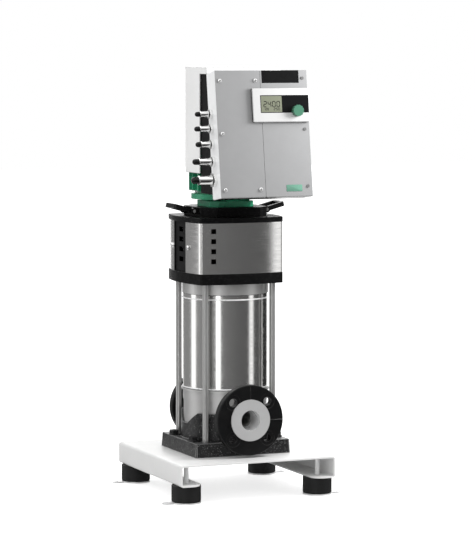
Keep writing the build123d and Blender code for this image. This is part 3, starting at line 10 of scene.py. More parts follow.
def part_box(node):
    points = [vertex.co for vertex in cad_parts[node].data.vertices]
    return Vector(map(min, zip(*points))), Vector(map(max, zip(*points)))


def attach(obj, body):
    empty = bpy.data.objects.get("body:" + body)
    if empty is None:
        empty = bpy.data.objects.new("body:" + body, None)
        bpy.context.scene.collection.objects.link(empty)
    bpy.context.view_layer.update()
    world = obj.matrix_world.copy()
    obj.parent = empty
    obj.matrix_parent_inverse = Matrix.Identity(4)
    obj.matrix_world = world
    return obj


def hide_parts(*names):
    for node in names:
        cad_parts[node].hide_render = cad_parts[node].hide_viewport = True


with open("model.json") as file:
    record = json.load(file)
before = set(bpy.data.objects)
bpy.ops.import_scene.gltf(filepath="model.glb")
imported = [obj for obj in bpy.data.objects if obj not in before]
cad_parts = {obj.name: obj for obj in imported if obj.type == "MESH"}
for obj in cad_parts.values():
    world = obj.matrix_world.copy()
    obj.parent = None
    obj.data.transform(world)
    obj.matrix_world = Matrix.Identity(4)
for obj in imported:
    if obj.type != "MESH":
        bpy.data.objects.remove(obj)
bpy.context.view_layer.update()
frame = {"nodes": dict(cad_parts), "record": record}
nodes = frame["nodes"]
body_of = {
    node: body
    for body, members in frame["record"]["behaviour"]["bodies"].items()
    for node in members
}
slot_of = {name: node.data.materials[0].name for name, node in nodes.items()}
for plain in list(bpy.data.materials):
    plain.name = plain.name + "_plain"
scene = bpy.context.scene
scene.view_settings.view_transform = "Standard"
scene.view_settings.look = "None"

# Camera: 22.7 degrees round to the left of the front port, looking 5.0 degrees down
camera_azimuth = radians(-22.68)
camera_drop = radians(5.03)
camera_distance = 5.798
to_camera = Vector((sin(camera_azimuth), -cos(camera_azimuth), 0))
to_right = Vector((cos(camera_azimuth), sin(camera_azimuth), 0))
camera_aim = 0.0265 * to_right + Vector((0, 0, 0.45))
camera_data = bpy.data.cameras.new("camera")
camera_data.lens = 173.6
camera = bpy.data.objects.new("camera", camera_data)
camera_side = cos(camera_drop) * to_camera + sin(camera_drop) * Vector((0, 0, 1))
camera.location = camera_aim + camera_distance * camera_side
camera.rotation_euler = (camera_aim - camera.location).to_track_quat("-Z", "Y").to_euler()
scene.collection.objects.link(camera)
scene.camera = camera


# Node tools
def place(tree, kind, sockets=None, **settings):
    """Add a node. sockets gives each input a value, or the output that feeds it."""
    made = tree.nodes.new(kind)
    for name, value in settings.items():
        setattr(made, name, value)
    for name, value in (sockets or {}).items():
        if isinstance(value, bpy.types.NodeSocket):
            tree.links.new(value, made.inputs[name])
        else:
            made.inputs[name].default_value = value
    return made


def maths(tree, operation, first, second=0.0):
    """The output of a Math node."""
    return place(tree, "ShaderNodeMath", {0: first, 1: second}, operation=operation).outputs[0]


def ramp(tree, value, low, high, to_low=0.0, to_high=1.0, smooth=False):
    """The output of a Map Range node, clamped."""
    kind = "SMOOTHSTEP" if smooth else "LINEAR"
    sockets = {"Value": value, "From Min": low, "From Max": high, "To Min": to_low, "To Max": to_high}
    return place(tree, "ShaderNodeMapRange", sockets, interpolation_type=kind).outputs["Result"]


def mix(tree, amount, first, second):
    """The output of a Mix node on numbers."""
    return place(tree, "ShaderNodeMix", {0: amount, 2: first, 3: second}, data_type="FLOAT").outputs[0]


def dot(tree, first, second):
    """How far two directions agree, as a number."""
    made = place(tree, "ShaderNodeVectorMath", {0: first, 1: second}, operation="DOT_PRODUCT")
    return made.outputs["Value"]


def effect(name, inputs, outputs):
    """A shader node group with number inputs and outputs, and the sockets inside it."""
    tree = bpy.data.node_groups.new(name, "ShaderNodeTree")
    for socket, value in inputs.items():
        made = tree.interface.new_socket(socket, in_out="INPUT", socket_type="NodeSocketFloat")
        made.default_value = value
    for socket in outputs:
        tree.interface.new_socket(socket, in_out="OUTPUT", socket_type="NodeSocketFloat")
    given = tree.nodes.new("NodeGroupInput").outputs
    taken = tree.nodes.new("NodeGroupOutput").inputs
    return tree, given, taken


def noise(tree, vector, scale, detail=2.0, rough=0.5):
    """The grey output of a noise texture."""
    sockets = {"Vector": vector, "Scale": scale, "Detail": detail, "Roughness": rough}
    return place(tree, "ShaderNodeTexNoise", sockets).outputs["Fac"]


# Effects that several finishes share
def make_mottle():
    """Slow clouds with finer ones in them: thin and thick paint, handling, weather."""
    tree, given, taken = effect("mottle", {"Scale": 8.0}, ["Tone"])
    where = place(tree, "ShaderNodeTexCoord").outputs["Object"]
    broad = noise(tree, where, given["Scale"], 4.0, 0.6)
    fine = noise(tree, where, maths(tree, "MULTIPLY", given["Scale"], 9.0), 3.0, 0.6)
    both = maths(tree, "ADD", maths(tree, "MULTIPLY", broad, 0.7), maths(tree, "MULTIPLY", fine, 0.3))
    tree.links.new(ramp(tree, both, 0.35, 0.65), taken["Tone"])
    return tree


def make_grain():
    """The small pits and lumps of a casting, or the pebbles of moulded plastic."""
    tree, given, taken = effect("grain", {"Scale": 600.0, "Lumps": 0.5}, ["Height", "Tone"])
    where = place(tree, "ShaderNodeTexCoord").outputs["Object"]
    fine = noise(tree, where, given["Scale"], 3.0, 0.6)
    broad = noise(tree, where, maths(tree, "MULTIPLY", given["Scale"], 0.22), 2.0, 0.5)
    mixed = mix(tree, given["Lumps"], fine, broad)
    tree.links.new(mixed, taken["Height"])
    tree.links.new(ramp(tree, mixed, 0.35, 0.65), taken["Tone"])
    return tree


def make_brushing():
    """Fine lines from a brushing belt. The three scales are lines a metre along X, Y and Z."""
    inputs = {"Along X": 20.0, "Along Y": 20.0, "Along Z": 1500.0}
    tree, given, taken = effect("brushing", inputs, ["Height", "Tone"])
    where = place(tree, "ShaderNodeTexCoord").outputs["Object"]
    each_way = {0: given["Along X"], 1: given["Along Y"], 2: given["Along Z"]}
    scales = place(tree, "ShaderNodeCombineXYZ", each_way).outputs[0]
    stretched = place(tree, "ShaderNodeVectorMath", {0: where, 1: scales}, operation="MULTIPLY").outputs[0]
    lines = noise(tree, stretched, 1.0, 4.0, 0.7)
    tree.links.new(lines, taken["Height"])
    tree.links.new(ramp(tree, lines, 0.3, 0.7), taken["Tone"])
    return tree


def make_edge_wear_and_highlight():
    """Where a coating has thinned along the edges, and on the black finishes a painted edge highlight.
    Width is in metres.
    """
    tree, given, taken = effect("edge_wear_and_highlight", {"Width": 0.001, "Breaks": 90.0}, ["Mask"])
    where = place(tree, "ShaderNodeTexCoord").outputs["Object"]
    plain = place(tree, "ShaderNodeNewGeometry").outputs["Normal"]
    softened = place(tree, "ShaderNodeBevel", {"Radius": given["Width"]}, samples=4).outputs[0]
    turned = dot(tree, plain, softened)
    edge = ramp(tree, turned, 0.97, 0.8)
    breaks = ramp(tree, noise(tree, where, given["Breaks"], 4.0, 0.7), 0.42, 0.62)
    tree.links.new(maths(tree, "MULTIPLY", edge, breaks), taken["Mask"])
    return tree


def make_dust():
    """A thin film of dust on what faces up."""
    tree, given, taken = effect("dust", {"Patches": 25.0}, ["Mask"])
    where = place(tree, "ShaderNodeTexCoord").outputs["Object"]
    facing = place(tree, "ShaderNodeNewGeometry").outputs["Normal"]
    up = place(tree, "ShaderNodeSeparateXYZ", {0: facing}).outputs["Z"]
    patches = ramp(tree, noise(tree, where, given["Patches"], 5.0, 0.65), 0.35, 0.75)
    tree.links.new(maths(tree, "MULTIPLY", ramp(tree, up, 0.3, 1.0), patches), taken["Mask"])
    return tree


def make_turning():
    """Rings left by a lathe or cut by a die round an upright axis. Pitch is in metres."""
    tree, given, taken = effect("turning", {"Pitch": 0.001}, ["Height"])
    where = place(tree, "ShaderNodeTexCoord").outputs["Object"]
    level = place(tree, "ShaderNodeSeparateXYZ", {0: where}).outputs["Z"]
    phase = maths(tree, "MULTIPLY", maths(tree, "DIVIDE", level, given["Pitch"]), 2 * pi)
    tree.links.new(ramp(tree, maths(tree, "SINE", phase), -1.0, 1.0), taken["Height"])
    return tree


effects = {
    "mottle": make_mottle(),
    "grain": make_grain(),
    "brushing": make_brushing(),
    "edge_wear_and_highlight": make_edge_wear_and_highlight(),
    "dust": make_dust(),
    "turning": make_turning(),
}


def use(tree, name, **values):
    """Place an effect in a material with that material's own values."""
    made = tree.nodes.new("ShaderNodeGroup")
    made.node_tree = effects[name]
    for socket, value in values.items():
        made.inputs[socket.replace("_", " ")].default_value = value
    return made.outputs


def blend_colour(tree, amount, first, second):
    """Mix two colours, each given as numbers or as an output."""
    first, second = [(*c, 1.0) if isinstance(c, tuple) else c for c in (first, second)]
    return place(tree, "ShaderNodeMix", {0: amount, 6: first, 7: second}, data_type="RGBA").outputs[2]


def bump(tree, height, depth, below=None):
    """A Bump node. depth is the height of the marks in metres."""
    sockets = {"Height": height, "Distance": depth}
    if below is not None:
        sockets["Normal"] = below
    return place(tree, "ShaderNodeBump", sockets).outputs["Normal"]


brushed_light = (0.35, 0.35, 0.35)
dust_colour = (0.5, 0.49, 0.47)
finishes = {}


def finish(name, colour, roughness, metallic=0.0, shift=0.12, patches=8.0, rough_shift=0.08,
           grain=None, painted_glints=None, brushing=None, turning=None, wear_and_highlight=None, dust=None, **shader_values):
    """Make a surface finish and keep it under its name.

    Mottled colour and gloss come first, then its own grain, painted glints, lines, worn edges (a painted
    edge highlight on the black finishes) and dust.
    """
    material = bpy.data.materials.new(name)
    material.use_nodes = True
    tree = material.node_tree
    shader = tree.nodes["Principled BSDF"]
    shader.inputs["Metallic"].default_value = metallic
    for socket, value in shader_values.items():
        shader.inputs[socket.replace("_", " ")].default_value = value
    tone = use(tree, "mottle", Scale=patches)["Tone"]
    darker = tuple(c * (1 - shift) for c in colour)
    lighter = tuple(min(1.0, c * (1 + shift / 2)) for c in colour)
    shade = blend_colour(tree, tone, darker, lighter)
    gloss = ramp(tree, tone, 0.0, 1.0, roughness - rough_shift, roughness + rough_shift)
    normal = None
    if grain:
        scale, lumps, depth = grain
        marks = use(tree, "grain", Scale=scale, Lumps=lumps)
        normal = bump(tree, marks["Height"], depth, normal)
        gloss = maths(tree, "ADD", gloss, ramp(tree, marks["Tone"], 0.0, 1.0, -0.04, 0.04))
    # Painted glints: pale specks mixed into the colour stand in for the sparkle of the grain.
    if painted_glints:
        scale, painted_glint = painted_glints
        mask = ramp(tree, use(tree, "grain", Scale=scale, Lumps=0.0)["Tone"], 0.85, 1.0)
        shade = blend_colour(tree, mask, shade, painted_glint)
    if brushing:
        scales, depth, streaks = brushing
        marks = use(tree, "brushing", Along_X=scales[0], Along_Y=scales[1], Along_Z=scales[2])
        normal = bump(tree, marks["Height"], depth, normal)
        gloss = maths(tree, "ADD", gloss, ramp(tree, marks["Tone"], 0.0, 1.0, -streaks, streaks))
        pale = ramp(tree, marks["Tone"], 0.0, 1.0, 0.0, streaks)
        shade = blend_colour(tree, pale, shade, brushed_light)
    if turning:
        pitch, depth = turning
        normal = bump(tree, use(tree, "turning", Pitch=pitch)["Height"], depth, normal)
    # Edge colour along the edges: worn coating, and on the black finishes a painted edge highlight.
    if wear_and_highlight:
        width, breaks, edge_colour, amount = wear_and_highlight
        mask = maths(tree, "MULTIPLY", use(tree, "edge_wear_and_highlight", Width=width, Breaks=breaks)["Mask"], amount)
        shade = blend_colour(tree, mask, shade, edge_colour)
    if dust:
        patch, amount = dust
        mask = maths(tree, "MULTIPLY", use(tree, "dust", Patches=patch)["Mask"], amount)
        shade = blend_colour(tree, mask, shade, dust_colour)
        gloss = maths(tree, "ADD", gloss, maths(tree, "MULTIPLY", mask, 0.4))
    tree.links.new(shade, shader.inputs["Base Color"])
    tree.links.new(gloss, shader.inputs["Roughness"])
    if normal is not None:
        tree.links.new(normal, shader.inputs["Normal"])
    finishes[name] = material


# Pale edge colour of the black castings: bare iron where worn, and a painted edge highlight.
bare_iron_and_edge_highlight = (0.09, 0.088, 0.085)
finish("white_paint", (0.71, 0.71, 0.706), 0.42, shift=0.03, grain=(900.0, 0.6, 0.00004),
       wear_and_highlight=(0.0012, 60.0, (0.62, 0.61, 0.58), 0.5), dust=(14.0, 0.1))
finish("black_cast", (0.0045, 0.0045, 0.0048), 0.36, shift=0.3, patches=14.0, rough_shift=0.07,
       grain=(420.0, 0.4, 0.0006), wear_and_highlight=(0.0014, 70.0, bare_iron_and_edge_highlight, 0.6), dust=(18.0, 0.02),
       Specular_IOR_Level=0.22)
# The foot's pale specks are painted glints, and its pale edges a painted edge highlight.
finish("foot_black", (0.014, 0.014, 0.0145), 0.36, shift=0.5, patches=30.0, rough_shift=0.07,
       grain=(260.0, 0.4, 0.0012), painted_glints=(420.0, (0.2, 0.2, 0.2)),
       wear_and_highlight=(0.0018, 50.0, (0.3, 0.3, 0.3), 0.8), dust=(18.0, 0.02), Specular_IOR_Level=0.3)
finish("lantern_black", (0.004, 0.004, 0.0042), 0.4, shift=0.3, patches=14.0, rough_shift=0.07,
       grain=(420.0, 0.4, 0.0006), painted_glints=(420.0, (0.03, 0.03, 0.03)),
       wear_and_highlight=(0.0014, 70.0, bare_iron_and_edge_highlight, 0.6), dust=(18.0, 0.02), Specular_IOR_Level=0.07)
finish("black_rubber", (0.008, 0.008, 0.0082), 0.6, shift=0.25, grain=(1300.0, 0.3, 0.00008),
       dust=(22.0, 0.06), Specular_IOR_Level=0.3)
finish("zinc_steel", (0.56, 0.57, 0.58), 0.34, metallic=1.0, shift=0.22, patches=60.0,
       grain=(1800.0, 0.4, 0.00003))
finish("stainless", (0.64, 0.635, 0.625), 0.16, metallic=1.0, shift=0.03, patches=6.0, rough_shift=0.015,
       brushing=((20.0, 20.0, 480.0), 0.00004, 0.09))
finish("satin_stainless", (0.5, 0.498, 0.494), 0.42, metallic=0.75, shift=0.05, patches=9.0,
       grain=(900.0, 0.5, 0.00004))
finish("satin_rod", (0.42, 0.42, 0.415), 0.3, metallic=0.7, shift=0.04, patches=20.0, rough_shift=0.02)
finish("display_white", (0.5, 0.5, 0.5), 0.4, shift=0.02, patches=5.0, grain=(1500.0, 0.3, 0.00003))
finish("bright_screw", (0.85, 0.85, 0.85), 0.2, metallic=0.8, shift=0.05, patches=60.0)
# A pale finish: a painted highlight on the sleeve's beads, and painted light inside the port bores.
finish("pale_painted_highlight", (0.85, 0.85, 0.85), 0.3, metallic=0.3, shift=0.03, patches=40.0)
finish("pale_zinc", (0.8, 0.8, 0.8), 0.4, metallic=0.3, shift=0.06, patches=60.0,
       grain=(1800.0, 0.4, 0.00003))
# Painted edge highlight: a pale grey for the foot casting's rounds.
finish("painted_edge_highlight", (0.14, 0.14, 0.14), 0.4, shift=0.6, patches=60.0, grain=(420.0, 0.4, 0.0004))
# Painted shade: a mid grey line on the fan hood's rounds, so its white rim stands out.
finish("painted_shade_edge", (0.3, 0.3, 0.3), 0.5, shift=0.1, patches=20.0)
finish("dull_screw", (0.17, 0.17, 0.17), 0.4, metallic=0.3, shift=0.08, patches=90.0)
finish("machined_face", (0.43, 0.43, 0.43), 0.45, metallic=0.15, shift=0.04, patches=12.0,
       grain=(1500.0, 0.4, 0.00003))
finish("polished_steel", (0.66, 0.66, 0.65), 0.16, metallic=1.0, shift=0.06, patches=40.0,
       rough_shift=0.04, grain=(2200.0, 0.3, 0.00001))
finish("bearing_bronze", (0.42, 0.28, 0.12), 0.35, metallic=1.0, patches=50.0)
finish("seal_carbon", (0.03, 0.03, 0.032), 0.3, patches=60.0, grain=(2000.0, 0.2, 0.00001))
finish("copper", (0.42, 0.16, 0.06), 0.32, metallic=0.6, patches=70.0, turning=(0.0012, 0.0004),
       Coat_Weight=0.4)
finish("lamination", (0.22, 0.22, 0.24), 0.45, metallic=0.8, patches=40.0, turning=(0.0005, 0.0002))
finish("green_paint", (0.02, 0.26, 0.13), 0.34, shift=0.14, patches=12.0, grain=(520.0, 0.6, 0.00012),
       wear_and_highlight=(0.001, 80.0, (0.16, 0.3, 0.22), 0.35), dust=(16.0, 0.06))
finish("black_plastic", (0.005, 0.005, 0.0052), 0.3, shift=0.15, grain=(1600.0, 0.2, 0.00004),
       Specular_IOR_Level=0.25)
finish("white_plastic", (0.83, 0.83, 0.826), 0.4, shift=0.02, patches=5.0, grain=(1500.0, 0.3, 0.00003),
       dust=(12.0, 0.06))
finish("light_grey_paint", (0.86, 0.865, 0.87), 0.4, shift=0.05, grain=(700.0, 0.6, 0.00006),
       wear_and_highlight=(0.0008, 80.0, (0.72, 0.72, 0.72), 0.4), dust=(14.0, 0.08))
finish("grey_paint", (0.26, 0.261, 0.264), 0.38, shift=0.04, patches=6.0, grain=(1100.0, 0.5, 0.00005),
       dust=(14.0, 0.06))
finish("black_aluminium", (0.006, 0.006, 0.0063), 0.45, shift=0.2, grain=(1500.0, 0.4, 0.00003),
       wear_and_highlight=(0.0006, 90.0, (0.12, 0.12, 0.12), 0.3), Specular_IOR_Level=0.1)
finish("black_screw", (0.02, 0.02, 0.021), 0.35, metallic=0.5, shift=0.2, patches=120.0)
finish("display_black", (0.006, 0.006, 0.0065), 0.12, shift=0.1, patches=4.0, rough_shift=0.02,
       Specular_IOR_Level=0.3)
finish("lcd_green", (0.17, 0.18, 0.132), 0.3, shift=0.05, patches=30.0, rough_shift=0.03)
finish("green_plastic", (0.05, 0.155, 0.1), 0.4, shift=0.06, patches=60.0, grain=(2400.0, 0.3, 0.00003))
finish("plate_green", (0.11, 0.25, 0.185), 0.4, shift=0.06, patches=60.0)
finish("board_green", (0.03, 0.14, 0.05), 0.4, shift=0.2, patches=90.0)
finish("nickel", (0.85, 0.85, 0.845), 0.11, metallic=1.0, shift=0.04, patches=60.0, rough_shift=0.03)
for name, node in nodes.items():
    node.data.materials[0] = finishes[slot_of[name]]
# Nodes whose look differs from that of their material slot
own_finish = {
    "port_bowl": "satin_stainless",
    "casing_head": "satin_stainless",
    "tie_rods": "satin_rod",
    "foot_casting": "foot_black",
    "lantern": "lantern_black",
    "top_ring": "lantern_black",
    "display_frame": "display_white",
    "cover_screws": "bright_screw",
    "small_cover_screws": "dull_screw",
    "damper_floor_plates": "pale_zinc",
    "damper_studs": "pale_zinc",
    "guard_screws": "bright_screw",
}
for name, own in own_finish.items():
    nodes[name].data.materials[0] = finishes[own]


# Pieces
def keep(shape, name, body, finish_name, smooth_below=35.0):
    """Turn a bmesh into a piece that rides on a body."""
    mesh = bpy.data.meshes.new(name)
    shape.to_mesh(mesh)
    shape.free()
    if "custom_normal" in mesh.attributes:
        mesh.attributes.remove(mesh.attributes["custom_normal"])
    mesh.shade_smooth()
    mesh.set_sharp_from_angle(angle=radians(smooth_below))
    mesh.materials.append(finishes[finish_name])
    piece = bpy.data.objects.new(name, mesh)
    scene.collection.objects.link(piece)
    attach(piece, body)
    return piece


merge_distance = 0.000002
flat_below = radians(0.4)
sharp_above = radians(30)


def rounded(name, width, picked=None, rounds=None, clamped=True):
    """Stand a copy of a CAD node in its place, with a small round on its sharp edges.

    picked gives a finish to the faces that its test picks by their middle and their direction.
    rounds is the finish of the rounds, where they have their own. clamped keeps them off small features.
    """
    picked = picked or {}
    node = nodes[name]
    shape = bmesh.new()
    shape.from_mesh(node.data)
    shape.transform(node.matrix_world)
    bmesh.ops.remove_doubles(shape, verts=shape.verts, dist=merge_distance)
    bmesh.ops.dissolve_limit(shape, angle_limit=flat_below, verts=shape.verts, edges=shape.edges)
    for face in shape.faces:
        for order, test in enumerate(picked.values(), start=1):
            if test(face.calc_center_median(), face.normal):
                face.material_index = order
    piece = keep(shape, name + "_rounded", body_of[name], own_finish.get(name, slot_of[name]))
    for second in picked:
        piece.data.materials.append(finishes[second])
    soft = piece.modifiers.new("round", "BEVEL")
    if rounds:
        soft.material = len(piece.data.materials)
        piece.data.materials.append(finishes[rounds])
    soft.width = width
    soft.segments = 2
    soft.limit_method = "ANGLE"
    soft.angle_limit = sharp_above
    soft.harden_normals = True
    soft.use_clamp_overlap = clamped
    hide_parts(name)
    return piece


# Converter front, tilted back about X
tilt = radians(8)
panel_origin = Vector((0.019, -0.185, 0.637))
across = Vector((1, 0, 0))
up_slope = Vector((0, sin(tilt), cos(tilt)))
outward = Vector((0, -cos(tilt), sin(tilt)))

for name, width, rounds, clamped in [
    ("base_frame", 0.0008, None, False),
    # The foot casting's rounds carry a painted edge highlight.
    ("foot_casting", 0.0012, "painted_edge_highlight", False),
    ("front_flange", 0.0006, None, True),
    ("rear_flange", 0.0006, None, True),
    ("lantern", 0.0009, None, False),
    ("top_ring", 0.0009, None, False),
    ("left_handle", 0.0006, None, True),
    ("right_handle", 0.0006, None, True),
    ("front_guard", 0.0003, None, True),
    ("rear_guard", 0.0003, None, True),
    ("foot_bolts", 0.0004, None, True),
    # The fan hood's rounds carry a painted shade line.
    ("fan_hood", 0.0008, "painted_shade_edge", False),
]:
    rounded(name, width, rounds=rounds, clamped=clamped)

# Where a second finish starts, in metres
seam_x = panel_origin.x - 0.0025
seam_reach = 0.003
groove_x = panel_origin.x - 0.1113
groove_reach = 0.0007
port_face_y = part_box("port_bowl")[1].y - 0.0022
port_pipe_y = 0.08
port_axis_z = 0.164
bore_radius_limit = 0.0225
bead_radius_start = 0.0914


def shaded_underside(middle, facing):
    """The converter's lower end, which gets black as painted shade."""
    return facing.dot(up_slope) < -0.9


def lit_cover_side(middle, facing):
    """A cover's sides, given a paler paint than its front as painted light."""
    return facing.dot(outward) < 0.5


def cover_gap_shade(middle, facing):
    """A cover's lower end, and its side along the seam between the two covers, which get black as painted
    shade.
    """
    return shaded_underside(middle, facing) or abs(middle.x - seam_x) < seam_reach


def display_side_shadow(middle, facing):
    """The display frame's left and lower sides, which get black as a painted shadow."""
    return facing.dot(outward) < 0.4 and min(facing.dot(across), facing.dot(up_slope)) < -0.5


def port_face(middle, facing):
    """The raised faces of both ports."""
    return abs(middle.y) > port_face_y and abs(facing.y) > 0.5


def port_bore(middle, facing):
    """The bores of both ports, which get a pale finish as painted light."""
    off_axis = Vector((middle.x, middle.z - port_axis_z)).length
    return abs(middle.y) > port_pipe_y and abs(facing.y) < 0.5 and off_axis < bore_radius_limit


def gland_groove(middle, facing):
    """The groove between a gland's nut and its body."""
    return abs(middle.x - groove_x) < groove_reach


def sleeve_bead(middle, facing):
    """The beads near the sleeve's ends, which get a pale finish as a painted highlight."""
    return Vector((middle.x, middle.y)).length > bead_radius_start


# The covers' sides get a paler paint as painted light.
for name in ("left_cover", "right_cover"):
    rounded(name, 0.0006, {"light_grey_paint": lit_cover_side, "black_plastic": cover_gap_shade})
# Black on the covers' lower ends and seam sides, and on the converter's lower end, is painted shade.
rounded("converter_housing", 0.0007, {"black_plastic": shaded_underside})
# Black on the display frame's left and lower sides is a painted shadow.
rounded("display_frame", 0.0006, {"black_plastic": display_side_shadow})
# The port bores get the pale finish as painted light.
rounded("port_bowl", 0.0004, {"machined_face": port_face, "pale_painted_highlight": port_bore})
bpy.data.objects["front_flange_rounded"].visible_glossy = False
rounded("gland_bodies", 0.0002, {"black_rubber": gland_groove})
# The sleeve's beads get the pale finish as a painted highlight.
rounded("outer_sleeve", 0.0001, {"pale_painted_highlight": sleeve_bead})


def on_panel(u, v, w):
    """The matrix that stands a flat shape on the converter's front.

    u, v and w are millimetres to the right, up the slope and outwards.
    """
    spot = panel_origin + 0.001 * (u * across + v * up_slope + w * outward)
    return Matrix.Translation(spot) @ Matrix((across, up_slope, outward)).transposed().to_4x4()


plate_size = (36.0, 13.9, 0.5)
plate_place = (62.5, 18.35, 0.2)
plate_corner = 0.0015
plate_rim = 0.0001


def green_plate():
    """The bare plate low on the right cover, with rounded corners."""
    shape = bmesh.new()
    bmesh.ops.create_cube(shape, size=0.001)
    bmesh.ops.scale(shape, vec=plate_size, verts=shape.verts)
    rounding = {"affect": "EDGES", "profile": 0.5, "material": -1}
    upright = [e for e in shape.edges if abs(e.verts[0].co.z - e.verts[1].co.z) > 0.0001]
    bmesh.ops.bevel(shape, geom=upright, offset=plate_corner, segments=4, **rounding)
    rim = [e for e in shape.edges if e.verts[0].co.z > 0 and e.verts[1].co.z > 0]
    bmesh.ops.bevel(shape, geom=rim, offset=plate_rim, segments=2, **rounding)
    bmesh.ops.transform(shape, matrix=on_panel(*plate_place), verts=shape.verts)
    piece = keep(shape, "bare_plate", "pump_body", "plate_green")


green_plate()

# Digits on the liquid crystal screen, each of seven bars
bars = {
    "top": (0.0, 1.0, 0), "middle": (0.0, 0.0, 0), "bottom": (0.0, -1.0, 0),
    "upper_left": (-0.5, 0.5, 1), "upper_right": (0.5, 0.5, 1),
    "lower_left": (-0.5, -0.5, 1), "lower_right": (0.5, -0.5, 1),
}
lit = {
    "0": ["top", "bottom", "upper_left", "upper_right", "lower_left", "lower_right"],
    "1": ["upper_right", "lower_right"],
    "2": ["top", "upper_right", "middle", "lower_left", "bottom"],
    "4": ["upper_left", "upper_right", "middle", "lower_right"],
    "5": ["top", "upper_left", "middle", "lower_right", "bottom"],
}


screen_level = 7.02
digit_pitch = 1.62
bar_gap = 0.35
digit_relief = 0.00004


def digits(name, text, u, v, width, height, thickness):
    """A row of digits. u and v are the middle of the first, in millimetres on the converter's front.

    The pitch is in widths of a digit, the gap between bars in their thickness.
    """
    whole = bmesh.new()
    for order, digit in enumerate(text):
        for bar in lit[digit]:
            side, level, standing = bars[bar]
            length = (height / 2 if standing else width) - bar_gap * thickness
            radius = thickness / (1000 * 1.732)
            made = bmesh.ops.create_circle(whole, cap_ends=True, segments=6, radius=radius)["verts"]
            stretch = 0.001 * length / 2 - thickness / 2000
            for vert in made:
                if abs(vert.co.x) > 1e-6:
                    vert.co.x += stretch if vert.co.x > 0 else -stretch
            turn = Matrix.Rotation(pi / 2 * standing, 4, "Z")
            spot = Vector((side * width + order * width * digit_pitch, level * height / 2, 0)) / 1000
            seat = on_panel(u, v, screen_level) @ Matrix.Translation(spot) @ turn
            bmesh.ops.transform(whole, matrix=seat, verts=made)
    faces = bmesh.ops.extrude_face_region(whole, geom=list(whole.faces))["geom"]
    lifted = [part for part in faces if isinstance(part, bmesh.types.BMVert)]
    bmesh.ops.translate(whole, vec=outward * digit_relief, verts=lifted)
    bmesh.ops.recalc_face_normals(whole, faces=whole.faces)
    piece = keep(whole, name, "pump_body", "display_black")


digits("reading", "2400", 3.2, 194.0, 6.1, 11.5, 1.6)
digits("small_reading", "120", 1.4, 183.6, 2.4, 4.6, 0.8)
digits("small_unit_reading", "250", 24.0, 183.6, 3.2, 4.6, 0.9)

# Floor, which glows a little to the camera alone
floor_reach = 14.0
floor_glow = 0.62
floor_shape = bmesh.new()
bmesh.ops.create_grid(floor_shape, x_segments=1, y_segments=1, size=floor_reach)
floor_mesh = bpy.data.meshes.new("floor")
floor_shape.to_mesh(floor_mesh)
floor_shape.free()
floor_paint = bpy.data.materials.new("floor_paint")
floor_paint.use_nodes = True
tree = floor_paint.node_tree
tree.nodes.remove(tree.nodes["Principled BSDF"])
matt = place(tree, "ShaderNodeBsdfDiffuse", {"Color": (0.8, 0.8, 0.8, 1.0)})
camera_ray = place(tree, "ShaderNodeLightPath").outputs["Is Camera Ray"]
glow = place(tree, "ShaderNodeEmission", {"Strength": maths(tree, "MULTIPLY", camera_ray, floor_glow)})
both = place(tree, "ShaderNodeAddShader", {0: matt.outputs[0], 1: glow.outputs[0]})
tree.links.new(both.outputs[0], tree.nodes["Material Output"].inputs["Surface"])
floor_mesh.materials.append(floor_paint)
floor = bpy.data.objects.new("floor", floor_mesh)
floor.visible_glossy = False
scene.collection.objects.link(floor)

# Small light close by on the right, for the shadows on the converter's front
key_data = bpy.data.lights.new("key", "AREA")
key_data.size = 0.25
key_data.energy = 7.0
key = bpy.data.objects.new("key", key_data)
key.location = (0.5, -0.36, 0.95)
key.rotation_euler = (Vector((0.05, -0.17, 0.78)) - key.location).to_track_quat("-Z", "Y").to_euler()
key.visible_glossy = False
key.visible_camera = False
scene.collection.objects.link(key)

# Studio: an even white tent for the matt finishes, and a grey room with upright light strips
# for the bright ones
world = bpy.data.worlds.new("studio")
scene.world = world
world.use_nodes = True
tree = world.node_tree
tree.nodes.clear()
direction = place(tree, "ShaderNodeTexCoord").outputs["Generated"]


def along(axis):
    """How far the ray looks along an axis."""
    return dot(tree, direction, axis)


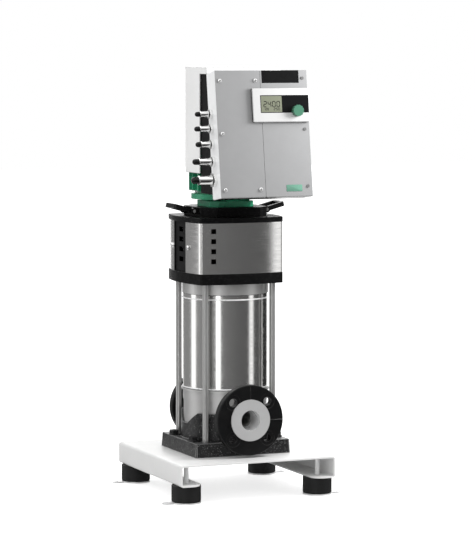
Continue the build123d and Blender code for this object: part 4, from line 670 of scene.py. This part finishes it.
rightwards, towards, upwards = along(to_right), along(to_camera), along((0, 0, 1))
bearing = maths(tree, "ARCTAN2", rightwards, towards)


def strip(angle, half_width, edge, strength, lowest=-0.5, highest=0.9):
    """An upright light strip, seen at this angle from the camera, in degrees to the right."""
    off = maths(tree, "ABSOLUTE", maths(tree, "SUBTRACT", bearing, radians(angle)))
    inside = ramp(tree, off, radians(half_width), radians(half_width + edge), 1.0, 0.0, smooth=True)
    under_top = ramp(tree, upwards, highest, highest + 0.1, 1.0, 0.0)
    over_base = ramp(tree, upwards, lowest - 0.1, lowest)
    ends = maths(tree, "MULTIPLY", under_top, over_base)
    return maths(tree, "MULTIPLY", maths(tree, "MULTIPLY", inside, strength), ends)


room = ramp(tree, rightwards, -1.0, 1.0, 0.36, 0.12)
room = maths(tree, "MULTIPLY", room, ramp(tree, upwards, -0.4, -0.14, 0.04, 1.0))
room = maths(tree, "ADD", room, ramp(tree, upwards, 0.25, 0.5, 0.0, 1.1, smooth=True))
room = maths(tree, "ADD", room, ramp(tree, upwards, -0.7, -0.85, 0.0, 0.9, smooth=True))
# Each strip: its angle, half width and soft edge in degrees, and its strength
for strip_shape in [
    (-96.0, 5.0, 7.0, 1.7),
    (-18.5, 3.0, 5.0, 2.6),
    (76.0, 4.0, 6.0, 1.3),
    (117.0, 2.5, 3.0, 1.4),
    (138.0, 12.0, 8.0, -0.12),
    (180.0, 18.0, 6.0, 1.8),
    (-180.0, 18.0, 6.0, 1.8),
]:
    room = maths(tree, "ADD", room, strip(*strip_shape))
tent = ramp(tree, upwards, -1.0, 1.0, 0.45, 1.25)
tent = maths(tree, "MULTIPLY", tent, ramp(tree, rightwards, -1.0, 1.0, 1.15, 0.85))
path = place(tree, "ShaderNodeLightPath").outputs
around = mix(tree, path["Is Diffuse Ray"], room, tent)
seen = mix(tree, path["Is Camera Ray"], around, 1.0)
light = place(tree, "ShaderNodeBackground", {"Color": (1.0, 1.0, 1.0, 1.0), "Strength": seen})
tree.links.new(light.outputs[0], place(tree, "ShaderNodeOutputWorld").inputs["Surface"])
world.cycles.sampling_method = "NONE"
